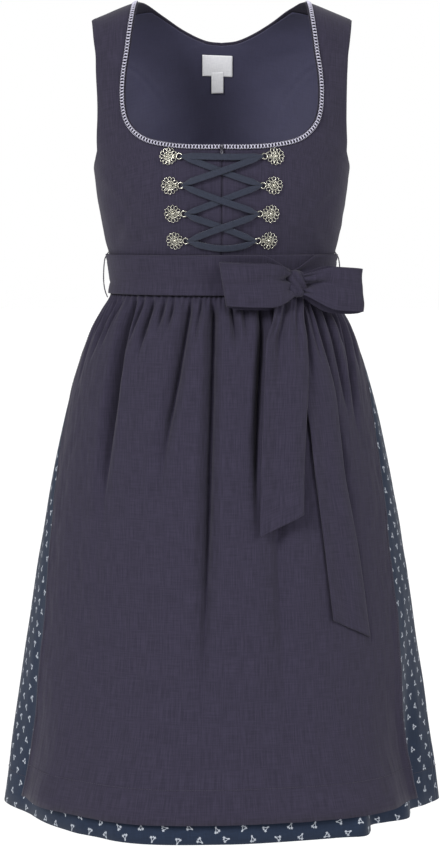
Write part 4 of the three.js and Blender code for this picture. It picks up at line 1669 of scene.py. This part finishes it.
@dataclass
class FrontZip:
    """The concealed zip: its tapes behind the edges, the slider and the pull."""

    form: Form
    top_z: float = -183.0
    bridge: float = 3.1
    pull_length: float = 9.6
    tape_width: float = 12.0
    tape_depth: float = 2.4
    tape: float = 0.6

    def build(self) -> None:
        """Build the tapes, the slider and the swinging pull."""
        z = np.linspace(-344, -180, 60)[:, None]
        x = np.linspace(-self.tape_width / 2, self.tape_width / 2, 9)[None, :]
        points = self.form.bodice_point(Half.FRONT, x + 0 * z, z + 0 * x)
        grid = Grid(points, paired(x * MM, z * MM)).moved(-self.tape_depth)
        sewn("zip_tapes", [grid], LINING, self.tape, [])
        matrix = self.form.front_frame(0, self.top_z, 0.5)
        outline = [(0.9, 3.0), (1.7, 1.4), (1.5, -1.6), (0.8, -3.0)]
        ring = [(-x, y) for x, y in outline] + [(x, y) for x, y in reversed(outline)]
        levels = ((0.86, 0.0), (1.0, 0.3), (1.0, 0.9), (0.82, 1.25))
        block = np.array([(x * s, y * s, h) for s, h in levels for x, y in ring])
        lugs = [tube(np.array([(x, 0, 1.0), (x, 0, self.bridge)]), 0.42, 6) for x in (-1.3, 1.3)]
        pin = tube(np.array([(-1.5, 0, self.bridge), (1.5, 0, self.bridge)]), 0.4, 8)
        points, faces = joined([(block, ring_faces(len(levels), len(ring))), *lugs, pin])
        slider = mesh_object("zip_slider_body", set_in(points, matrix), faces, ZINC)
        hand_over(slider, ["zip_slider"])
        eye = tube(circle(20)[:, [2, 0, 1]] * 1.05, 0.32, 6, True)
        half, end = 0.95, self.pull_length
        left = [(-half, -1.2), (-half, -end + 1), (-0.5, -end)]
        loop = left + [(-x, y) for x, y in reversed(left)]
        rim = tube(np.array([(x, y, 0) for x, y in loop]), 0.42, 6, True)
        plate = np.array([(x, y, h) for h in (-0.2, 0.2) for x, y in reversed(loop)])
        points, faces = joined([eye, rim, (plate, ring_faces(2, len(loop)))])
        swing = matrix @ Matrix.Translation((0, 0, self.bridge))
        pull = mesh_object("zip_pull_tab", set_in(points, swing), faces, ZINC)
        hand_over(pull, ["zip_pull"], body="zip_pull")


@dataclass
class Skirt:
    """The gathered printed skirt, in a front and a back panel."""

    form: Form
    cotton: float = 0.9
    cut_length: float = 0.66
    rows: int = 92
    apron_room: float = 21.5
    steps: Table = Table(
        "angle share",
        (-108, 0),
        (-94, 0),
        (-86, -0.022),
        (-78, -0.065),
        (-69, -0.1),
        (-57.5, -0.077),
        (-44.5, -0.05),
        (-37, -0.035),
        (-27, 0),
        (-10, 0),
        (5, 0),
        (20, 0),
        (33, 0.008),
        (38, 0.014),
        (43, -0.06),
        (48.5, -0.145),
        (55, -0.125),
        (62.5, -0.088),
        (70, -0.12),
        (76, -0.14),
        (84, -0.07),
        (94, 0),
        (108, 0),
    )

    def inset(self, z: Any) -> Any:
        """How far the skirt lies inside its own outline, under the apron."""
        return 3.4 * ease(z, -345, -364) * ease(z, -700, -540)

    def fold(self, angle: Any, z: Any, apron: "Apron") -> Any:
        """How far the folds bring the skirt in, as a distance out that is mostly negative.

        Args:
            angle: Degrees round from the centre front, from -180 to 180.
            z: The height.
            apron: The apron that lies over it.

        Returns:
            The distance out.
        """
        around = np.mod(angle + 360, 360)
        grown = ease(z, -360, self.form.skirt_hem_z)
        total = np.zeros(np.broadcast(angle, z).shape)
        for k in range(12):
            line = 101 + 14.4 * k + 2.2 * math.sin(2.3 * k + 0.6)
            depth = 19 + 5 * math.sin(1.7 * k + 1)
            width = 6.6 + math.cos(2.6 * k)
            top = -372 - 22 * (1 + math.sin(2.9 * k))
            drift = 1.2 * np.sin(z / 130 + k) * ease(z, -450, -800)
            deep = depth * ease(z, top, -640) * (0.62 + 0.38 * grown)
            total += deep * trough(around - line + drift, width)
        behind = ease(np.abs(angle), 62, 84)
        pitch = 180 / 22
        wave = gather(np.mod(np.abs(angle) / pitch, 1) - 0.5, 0.5)
        total += 2.6 * wave * ease(z, -450, -380) * ease(z, -360, -372) * behind
        edge = apron.edge(z, angle)
        covered = ease(np.abs(angle), edge - 2, edge - 12)
        total += covered * self.apron_room * ease(z, -360, -384) * mix(1, 0.36, ease(z, -700, -930))
        total += covered * 3 * (1 - np.cos(np.radians(angle) * 7 + 0.8)) * ease(z, -800, -997)
        low = ease(z, -690, self.form.skirt_hem_z)
        stepped = ease(np.abs(angle), 30, 42) * ease(np.abs(angle), 100, 92)
        return 245 * low * self.steps("share", angle) - total * (1 - 0.8 * low * stepped)

    def build(self, apron: "Apron") -> dict[Half, Grid]:
        """Build both panels.

        Args:
            apron: The apron that lies over the front.

        Returns:
            The panels' sheets.
        """
        grids = {}
        for half, start, end, columns in ((Half.FRONT, -90, 90, 300), (Half.BACK, 90, 270, 400)):
            z = self.levels(self.rows)[:, None]
            angle = np.linspace(start, end, columns + 1)[None, :]
            signed = np.where(angle > 180, angle - 360, angle)
            edge = apron.edge(z, signed)
            shown = ease(np.abs(signed), edge + 0.5, edge + 7)
            out = self.fold(signed, z, apron) - self.inset(z) * (1 - shown)
            waves = crumple(signed * 4.2, z, 60, 31, 2.2)
            out = out + 0.8 * (waves - 1) * ease(z, -380, -450) * shown
            points = self.form.skirt_point(signed, z, out)
            points[..., 1] += -SEAM if half is Half.FRONT else SEAM
            grid = Grid(points, paired(cloth_lengths(points, 1)[:1], z * MM))
            name = "skirt_" + half.value
            cut = (float(grid.cloth[0, -1, 0]), self.cut_length)
            sewn(name + "_cloth", [grid], COTTON, self.cotton, [name], cut)
            grids[half] = grid
        return grids

    def levels(self, count: int) -> np.ndarray:
        """Heights from the hem to the waist, closer together near the waist."""
        share = np.linspace(0, 1, count + 1)
        return mix(self.form.skirt_hem_z, -345.4, share**0.8)


@dataclass
class Apron:
    """The linen apron: a gathered panel on a band."""

    form: Form
    linen: float = 1.2
    deepest: float = 20.0
    flat_half_width: float = 0.3
    cut_length: float = 0.615
    rows: int = 121
    columns: int = 401
    top_z: float = -360.1
    edges: Table = Table(
        "z left right",
        (-973, 69, 65.5),
        (-946, 67, 63.5),
        (-898, 64, 60.3),
        (-850, 62.6, 59.4),
        (-803, 62.3, 60.5),
        (-755, 63, 62),
        (-706, 65, 62.6),
        (-658, 68, 64),
        (-611, 71.8, 66.8),
        (-560, 77, 69.5),
        (-510, 82, 73),
        (-460, 87, 79.5),
        (-410, 93, 90),
        (-363.5, 98.5, 98.5),
    )
    folds: Table = Table(
        "at low depth width top end",
        (-0.9, -0.93, 5, 3.5, -360, -440),
        (-0.84, -0.86, 6, 4.2, -360, -480),
        (-0.77, -0.8, 4, 2.6, -360, -420),
        (-0.7, -0.75, 7, 4.5, -360, -450),
        (-0.62, -0.67, 6, 3.2, -360, -430),
        (-0.51, -0.58, 14, 6, -360, -650),
        (-0.44, -0.47, 6, 3, -360, -430),
        (-0.375, -0.4, 9, 4, -360, -440),
        (-0.31, -0.31, 7, 3.4, -360, -410),
        (-0.25, -0.26, 5, 2.6, -360, -410),
        (-0.165, -0.28, 11, 5.5, -360, -620),
        (-0.105, -0.13, 5, 2.8, -360, -430),
        (-0.04, -0.085, 15, 5.2, -360, -900),
        (0.05, 0.07, 8, 3.6, -360, -430),
        (0.11, 0.12, 5, 2.8, -360, -420),
        (0.2, 0.165, 11, 4.6, -360, -660),
        (0.27, 0.29, 6, 9, -520, -930),
        (0.3, 0.33, 6, 3.4, -360, -440),
        (0.37, 0.4, 7, 3.8, -360, -480),
        (0.43, 0.48, 9, 4.5, -360, -560),
        (0.5, 0.66, 15, 6, -360, -660),
        (0.6, 0.72, 8, 4, -360, -520),
        (0.68, 0.73, 6, 3.4, -360, -440),
        (0.76, 0.79, 8, 4.5, -360, -540),
        (0.86, 0.87, 6, 4, -360, -460),
        (0.92, 0.94, 4, 3, -360, -430),
    )

    def edge(self, z: Any, side: Any) -> Any:
        """Where a side edge lies, in degrees round from the centre front.

        Args:
            z: The height.
            side: Below 0 for the left edge, and above it for the right one.

        Returns:
            The angle, always positive.
        """
        return np.where(np.asarray(side) < 0, self.edges("left", z), self.edges("right", z))

    def lift(self, z: Any) -> Any:
        """How far the apron lies outside the skirt's outline."""
        return 3.4 * ease(z, -540, -700)

    def fold(self, share: Any, z: Any) -> Any:
        """How far the folds bring the apron in.

        Args:
            share: The place across, from -1 to 1 between the side edges.
            z: The height.

        Returns:
            The depth there.
        """
        total = np.zeros(np.broadcast(share, z).shape)
        for row in self.folds.rows:
            top, end = row["top"], row["end"]
            length = top - end
            line = mix(row["at"], row["low"], ease(z, top, end))
            depth = row["depth"] * ease(z, top + 1, top - 18 - 0.03 * length)
            depth = depth * ease(z, end, end + 0.6 * length)
            away = (share - line) * self.edge(z, share)
            wide = trough(away, 0.9 * row["width"])
            total += depth * (1.05 * wide + 0.55 * trough(away, 0.34 * row["width"]))
        wave = gather(np.mod(share * 29 + 1.6 * np.sin(7 * share) + 40.5, 1) - 0.5, 0.5)
        total += 2.4 * wave * ease(z, -405, -362)
        total += 2.5 * (1 - np.cos(9 * share + 1)) * ease(z, -640, -973)
        drawn_in = 13 * ease(np.abs(share), 0.7, 1) * ease(z, -790, self.form.apron_hem_z)
        return np.minimum(total, self.deepest) * ease(np.abs(share), 1, 0.94) + drawn_in

    def build(self) -> Grid:
        """Build the panel.

        Returns:
            The panel's sheet.
        """
        rows = np.linspace(0, 1, self.rows) ** 0.8
        z = mix(self.form.apron_hem_z, self.top_z, rows)[:, None]
        share = np.linspace(-1, 1, self.columns)[None, :]
        out = self.lift(z) - self.fold(share, z)
        flat_u = share * self.flat_half_width * 1000
        out = out + 0.5 * (crumple(flat_u, z, 44, 41, 1.6) - 0.5) * ease(z, -364, -400)
        out = out + 0.35 * crumple(flat_u, z, 17, 43, 2.5) * ease(z, -364, -390)
        points = self.form.skirt_point(share * self.edge(z, share), z, out)
        grid = Grid(points, paired(flat_u * MM, z * MM))
        cut = (2 * self.flat_half_width, self.cut_length)
        nodes, under = ["apron_panel"], ["apron_waistband"]
        sewn("apron_panel_cloth", [grid], LINEN, self.linen, nodes, cut)
        return grid


@dataclass(frozen=True)
class BowLoop:
    """A loop of the bow: its side, reach and droop, the slant of its end, and its creases."""

    side: Side
    length: float
    droop: float
    slant: float
    creases: tuple


@dataclass
class Sash:
    """The apron's band, the sash round the waist, and its bow with two tails."""

    form: Form
    apron: Apron
    linen: float = 1.2
    band_top: float = -311.8
    band_height: float = 48.0
    band_out: float = 2.6
    band_angle: float = 99.0
    wrap_out: float = 2.0
    mm_per_degree: float = 2.1
    cloth_width: float = 0.052
    knot_cloth: float = 0.06
    knot_angle: float = 37.0
    loop_height: float = 52.0
    knot_size: tuple = (27.0, 21.0, 31.0)
    knot_z: float = -346.0
    loop: tuple = (
        (0, 16),
        (0.12, 21.5),
        (0.28, 25),
        (0.5, 27.5),
        (0.78, 27),
        (0.96, 23.5),
        (1, 19),
        (0.95, 14.5),
        (0.76, 11.5),
        (0.5, 10.6),
        (0.22, 10.6),
        (0, 11.5),
    )
    loops: tuple = (
        BowLoop(
            Side.LEFT,
            96,
            0,
            0.045,
            (
                (0.5, 0.2, 9.0, 0.2, 0.36),
                (1.0, 0.75, 4.0, 0.14, 0.3),
                (-0.25, -0.45, 4.5, 0.2, 0.25),
                (0.1, 0.35, 2.0, 0.1, 0.6),
            ),
        ),
        BowLoop(
            Side.RIGHT,
            83.5,
            8.5,
            -0.012,
            (
                (-0.3, 0.35, 11.0, 0.22, 0.52),
                (0.7, 0.75, 3.5, 0.14, 0.4),
                (-0.75, -0.6, 3.5, 0.12, 0.34),
                (0.3, 0.1, 2.0, 0.1, 0.7),
            ),
        ),
    )
    left_tail: Table = Table(
        "z left right out fold",
        (-642, 44.5, 97, 9, 1),
        (-570, 47, 99.3, 10.5, 2),
        (-502, 49.7, 103, 11, 2),
        (-457, 52, 105.4, 11, 2),
        (-412, 54.4, 104.3, 11, 2),
        (-388, 62.5, 101, 11, 1.2),
        (-372, 65.5, 100.5, 11, 0.5),
        (-360, 74, 99.5, 11.5, 0),
        (-351, 83, 98, 12.5, 0),
    )
    right_tail: Table = Table(
        "z left right out fold",
        (-742, 131.5, 176.5, 6, 1),
        (-684, 124.5, 167, 4.5, 1.2),
        (-583, 113, 150, 4.5, 1.2),
        (-526, 106.9, 143.6, 4.5, 1),
        (-481, 100, 139, 4.8, 1),
        (-421, 93, 123.5, 4.8, 0.8),
        (-385, 94, 113, 4.8, 0.3),
        (-360.2, 88, 103, 5.7, 0),
    )
    pleats: tuple = (
        (0.42, -0.06, 8.0, 0.1, -480),
        (0.82, -0.04, 5.5, 0.08, -460),
        (0.14, 0.02, 3.0, 0.08, -430),
        (0.62, 0.04, 2.5, 0.07, -420),
    )

    def ring(
        self, name: str, start: float, end: float, out: float, columns: int, seed: int
    ) -> None:
        """A length of cloth round the waist.

        Args:
            name: The solid that it stands for.
            start: Its first end, in degrees round from the centre front.
            end: Its other end.
            out: How far outside the waist it lies.
            columns: How finely it is cut.
            seed: Its own unevenness, or 0 for a smooth band.
        """
        low = self.band_top - self.band_height
        z = np.linspace(low, self.band_top, 29)[:, None]
        angle = np.linspace(start, end, columns)[None, :]
        share = (z - low) / self.band_height
        near = np.minimum(angle - start, end - angle) if seed else np.full(angle.shape, 90.0)
        squeeze = mix(0.46, 1, ease(near, -3, 17))
        run = angle * self.mm_per_degree
        wave = 0.45 * np.sin(run / 37 + seed) * np.sin(math.pi * share)
        lines = 0.0
        if seed:
            for place, depth, phase in ((0.3, 0.9, 0.4), (0.55, 0.8, 2.1), (0.78, 0.7, 4.0)):
                drift = 0.07 * np.sin(run / 61 + phase)
                shape = np.exp(-(((share - place - drift) / 0.035) ** 2))
                lines = lines + depth * shape * (0.5 + 0.5 * np.sin(run / 29 + phase * 2))
        edges = 0.5 * (np.exp(-((share / 0.05) ** 2)) + np.exp(-(((1 - share) / 0.05) ** 2)))
        droop = 0.9 * np.sin(run / 80 + seed)
        lines = lines + 1.8 * np.cos(2 * math.pi * 2.6 * share) * ease(near, 19, 2)
        height = mix(self.knot_z, z, squeeze) + droop * 0.4
        points = self.form.waist_point(angle, height, out + wave * 0.6 - lines * 0.8 - edges)
        grid = Grid(points, paired(run * MM, z * MM))
        sewn(name + "_cloth", [grid], LINEN, self.linen, [name])

    def bow_point(self, s: np.ndarray, z: np.ndarray, out: np.ndarray) -> np.ndarray:
        """A point of the bow: along the waist to its left, and straight out to its right.

        Args:
            s: Distance from the knot, positive to the right.
            z: The height.
            out: Distance out from the waist.

        Returns:
            The points.
        """
        knot = self.form.waist_point(self.knot_angle, 0.0, 0.0)
        before = self.form.waist_point(self.knot_angle - 1, 0.0, 0.0)
        step = float(np.linalg.norm(knot - before))
        along = (knot - before) / step
        left = self.form.waist_point(self.knot_angle + s / step * 0.96, z, out)
        right = self.form.waist_point(self.knot_angle, z, out - 0.0011 * s * s)
        right = right + along * s[..., None]
        return np.where((s < 0)[..., None], left, right)

    def bow_loop(self, loop: BowLoop) -> Grid:
        """The sheet of one loop of the bow.

        Args:
            loop: The loop.

        Returns:
            Its sheet.
        """
        order = np.arange(len(self.loop))
        at = np.linspace(0, len(self.loop) - 1, 121)[None, :]
        if loop.side is Side.RIGHT:
            at = at[:, ::-1]
        reach = Curve(order, [r[0] for r in self.loop])(at)
        out = Curve(order, [r[1] for r in self.loop])(at)
        v = np.linspace(-1, 1, 49)[:, None]
        rear = ease(at, 5.5, 8)
        grows = (-0.12, 0.42) if loop.side is Side.LEFT else (-0.05, 0.55)
        fullness = ease(reach, *grows)
        half = mix(self.knot_size[2] * 0.34, self.loop_height / 2, fullness) * (1 + 0.09 * rear)
        creases = 0.0
        for v0, v1, depth, width, end in loop.creases:
            line = mix(v0, v1, reach / end)
            shape = np.exp(-(((v - line) / width) ** 2))
            creases = creases + 1.4 * depth * ease(reach, end, 0.1 * end) * shape
        ripple = 0.8 * np.cos(math.pi * (v * 2.3 + reach * 1.5)) * ease(reach, 0.3, 0.7)
        edge = 0.8 * v**4
        sag = 2.0 * np.sin(math.pi * reach) * v**2 + 1.5 * rear * ease(reach, 0, 0.3)
        z = self.knot_z - loop.droop * reach**1.2 + half * v - sag
        s = loop.side.value * loop.length * reach * (1 + loop.slant * v)
        points = self.bow_point(s, z, out + ripple * (1 - 0.6 * rear) - creases * (1 - rear) - edge)
        run = cloth_lengths(points, 1).mean(axis=0)
        return Grid(points, paired(run, v * self.loop_height / 2 * MM))

    def knot(self) -> Grid:
        """The knot: a band pulled tight round the loops, with slanting folds."""
        width, thick, height = (n / 2 for n in self.knot_size)
        turn = np.linspace(0, 2 * math.pi, 73)[None, :]
        rise = np.linspace(-math.pi / 2, math.pi / 2, 41)[:, None]
        bulk = np.sign(np.cos(rise)) * np.abs(np.cos(rise)) ** 0.62
        flat_x = width * bulk * np.cos(turn)
        flat_z = height * np.sign(np.sin(rise)) * np.abs(np.sin(rise)) ** 0.85 + 0 * turn
        slant = flat_x * 0.8 + flat_z * 0.6 + 1.5 * np.sin(flat_z / 6)
        ridge = np.abs(np.sin(math.pi * (slant - 1) / 10.5)) ** 0.7
        folds = 1 + 0.36 * (ridge - 0.75) * np.abs(np.cos(rise)) ** 0.5
        x = flat_x * mix(1, folds, 0.5)
        y = thick * bulk * np.sin(turn) * folds
        z = flat_z * (1 - 0.06 * np.sin(turn)) - 0.12 * flat_x
        knot = self.form.waist_point(self.knot_angle, self.knot_z, 5.4 + thick)
        before = self.form.waist_point(self.knot_angle - 1, self.knot_z, 0.0)
        here = self.form.waist_point(self.knot_angle, self.knot_z, 0.0)
        along = (here - before) / np.linalg.norm(here - before)
        inwards = np.array([-along[1], along[0], 0])
        points = knot + x[..., None] * along + y[..., None] * inwards + z[..., None] * (0, 0, 1.0)
        return Grid(points, paired(turn * width * MM, rise * height * MM))

    def tail(self, name: str, table: Table, slant: float, seed: int) -> None:
        """One hanging end of the sash.

        Args:
            name: The solid that it stands for.
            table: Its edges by height.
            slant: How much higher its tip is on the right.
            seed: Its own unevenness.
        """
        low, high = table.data["z"][0], table.data["z"][-1]
        z = np.linspace(low, high, 121)[:, None]
        u = np.linspace(0, 1, 41)[None, :]
        x = mix(table("left", z), table("right", z), u)
        out = table("out", z)
        angle = np.degrees(np.arcsin(x / (self.form.skirt("width", z) + out)))
        ripple = table("fold", z) * np.cos(2 * math.pi * (u * 1.2 + 0.1))
        pleats = np.zeros(x.shape)
        for start, drift, depth, width, fade in self.pleats:
            line = start + drift * ease(z, -352, -420)
            pleats -= depth * np.exp(-(((u - line) / width) ** 2)) * ease(z, fade, -385)
        wave = 0.5 * crumple(u * self.cloth_width / MM, z, 30, seed, 3)
        curl = -0.8 * np.abs(2 * u - 1) ** 6
        lift = self.apron.lift(z)
        points = self.form.skirt_point(angle, z, lift + out + ripple + pleats + wave + curl)
        points[..., 2] += slant * u * ease(z, low + 90, low)
        grid = Grid(points, paired(u * self.cloth_width, z * MM))
        sewn(name + "_cloth", [grid], LINEN, self.linen, [name])

    def build(self) -> None:
        """Build the band, the wrap, the bow and its tails."""
        self.ring("apron_waistband", -self.band_angle, self.band_angle, self.band_out, 200, 0)
        wrap = (self.knot_angle + 1, self.knot_angle + 359)
        self.ring("sash_wrap", *wrap, self.band_out + self.wrap_out, 360, 2)
        loops = [self.bow_loop(loop) for loop in self.loops]
        bow = cloth_object("sash_bow_loops", loops, LINEN, self.linen)
        hand_over(bow, ["sash_bow"])
        knot = self.knot()
        ball = cloth_object("sash_bow_knot", [knot], LINEN, self.linen)
        hand_over(ball, ["sash_bow"])
        self.tail("sash_tail_left", self.left_tail, 25, 51)
        self.tail("sash_tail_right", self.right_tail, -25, 52)


@dataclass
class Trimmings:
    """Thread: the belt loops at the side seams, and the rows of stitches along the edges."""

    form: Form
    stitch_mm: float = 3.2
    lift_mm: float = 0.1
    route: tuple = (
        (139.8, -309), (144.2, -317), (146, -334), (145.8, -348), (144, -358), (141.3, -365)
    )

    def belt_loops(self) -> None:
        """Two twisted threads at each side seam."""
        height = Curve([r[1] for r in self.route], [r[0] for r in self.route])
        z = np.linspace(self.route[-1][1], self.route[0][1], 60)
        for side in Side:
            strands = []
            for phase in (0, math.pi):
                turn = z * 1.9 + phase
                x, y = height(z) + 0.4 * np.cos(turn), -6 + 0.4 * np.sin(turn)
                path = np.stack([x, y, z], axis=-1)
                strands.append(tube(path * np.array([side.value, 1, 1]), 0.5, 6))
            points, faces = joined(strands)
            cloth = points[:, [0, 2]] * MM
            name = "thread_loop_" + side.word
            piece = mesh_object(name + "_cord", points, faces, THREAD, cloth)
            hand_over(piece, [name])

    def seams(self, paths: Sequence[tuple[np.ndarray, np.ndarray]], name: str) -> None:
        """Rows of stitches along paths on the cloth."""
        piece = repeat_along(name, paths, self.stitch_mm, stitch(2.5), THREAD, 0.06)
        hand_over(piece)


@dataclass
class Studio:
    """The camera at the photograph's place, soft lights and a pale floor."""

    picture: tuple[int, int] = (440, 852)
    camera_mm: tuple[float, float, float] = (-2.2, -3300.0, -266.7)
    target_mm: tuple[float, float, float] = (-2.2, 0.0, -525.3)
    focal_px: float = 2661.0
    floor_z: float = -1.42
    floor_half_size: float = 30.0
    floor_colour: str = "#fbfbfb"
    sky_light: float = 0.24
    suns: tuple = (
        ("key", (-1.8, -2.1, 1.45), 2.75, 24),
        ("side", (1.9, -1.7, 1.1), 1.6, 28),
        ("behind", (0.4, 2.0, 1.9), 1.35, 60),
    )

    def camera(self) -> None:
        """Set the camera, with its focal length worked out from the picture's height."""
        data = bpy.data.cameras.new("camera")
        data.sensor_fit = "VERTICAL"
        data.sensor_height = 24.0
        data.lens = self.focal_px * data.sensor_height / self.picture[1]
        data.clip_end = 60
        camera = put("camera", data)
        place, target = Vector(self.camera_mm) * MM, Vector(self.target_mm) * MM
        camera.location = place
        camera.rotation_euler = (target - place).to_track_quat("-Z", "Y").to_euler()
        bpy.context.scene.camera = camera

    def sun(self, name: str, place: tuple, strength: float, softness: float) -> None:
        """Add one far, soft light.

        Args:
            name: The light's name.
            place: The direction that it comes from.
            strength: Its strength.
            softness: Its width in the sky, in degrees.
        """
        data = bpy.data.lights.new(name, "SUN")
        data.energy = strength
        data.angle = math.radians(softness)
        lamp = put(name, data)
        lamp.location = place
        lamp.rotation_euler = (-Vector(place)).to_track_quat("-Z", "Y").to_euler()

    def floor(self) -> None:
        """A plain pale floor."""
        mesh = bpy.data.meshes.new("floor")
        size = self.floor_half_size
        corners = [(-size, -size), (size, -size), (size, size), (-size, size)]
        mesh.from_pydata([(x, y, self.floor_z) for x, y in corners], [], [(0, 1, 2, 3)])
        floor = put("floor", mesh)
        material, tree = new_material("pale floor")
        look = {"Base Color": linear(self.floor_colour), "Roughness": 0.95}
        shader = add_node(tree, "ShaderNodeBsdfPrincipled", look)
        add_node(tree, "ShaderNodeOutputMaterial", {0: shader})
        mesh.materials.append(material)

    def build(self) -> None:
        """Set up the whole studio."""
        self.camera()
        self.floor()
        for sun in self.suns:
            self.sun(*sun)
        world = bpy.data.worlds.new("studio")
        world.use_nodes = True
        tree = world.node_tree
        tree.nodes.clear()
        seen = add_node(tree, "ShaderNodeLightPath").outputs["Is Camera Ray"]
        strength = add_node(
            tree, "ShaderNodeMapRange", {"Value": seen, "To Min": self.sky_light, "To Max": 1.0}
        )
        sky = add_node(tree, "ShaderNodeBackground", {0: (1.0, 1.0, 1.0, 1.0), 1: strength})
        add_node(tree, "ShaderNodeOutputWorld", {0: sky})
        bpy.context.scene.world = world
        bpy.context.scene.view_settings.view_transform = "Standard"


def main() -> None:
    """Build the dress in order, and report each piece."""
    logging.basicConfig(level=logging.INFO, format="%(message)s")
    form = Form()
    Studio().build()
    bodice = Bodice(form)
    bodice.build()
    NeckBraid(form, bodice).build()
    hooks = Hooks(form)
    hooks.build()
    Lacing(form, hooks).build()
    FrontZip(form).build()
    apron = Apron(form)
    skirts = Skirt(form).build(apron)
    panel = apron.build()
    Sash(form, apron).build()
    trimmings = Trimmings(form)
    trimmings.belt_loops()
    lift = trimmings.lift_mm
    edges = [panel.row(4, lift), panel.column(3, lift), panel.column(-4, lift)]
    trimmings.seams(edges, "apron_hem_stitches")
    trimmings.seams([skirts[half].row(3, lift) for half in Half], "skirt_hem_stitches")


if __name__ == "__main__":
    main()
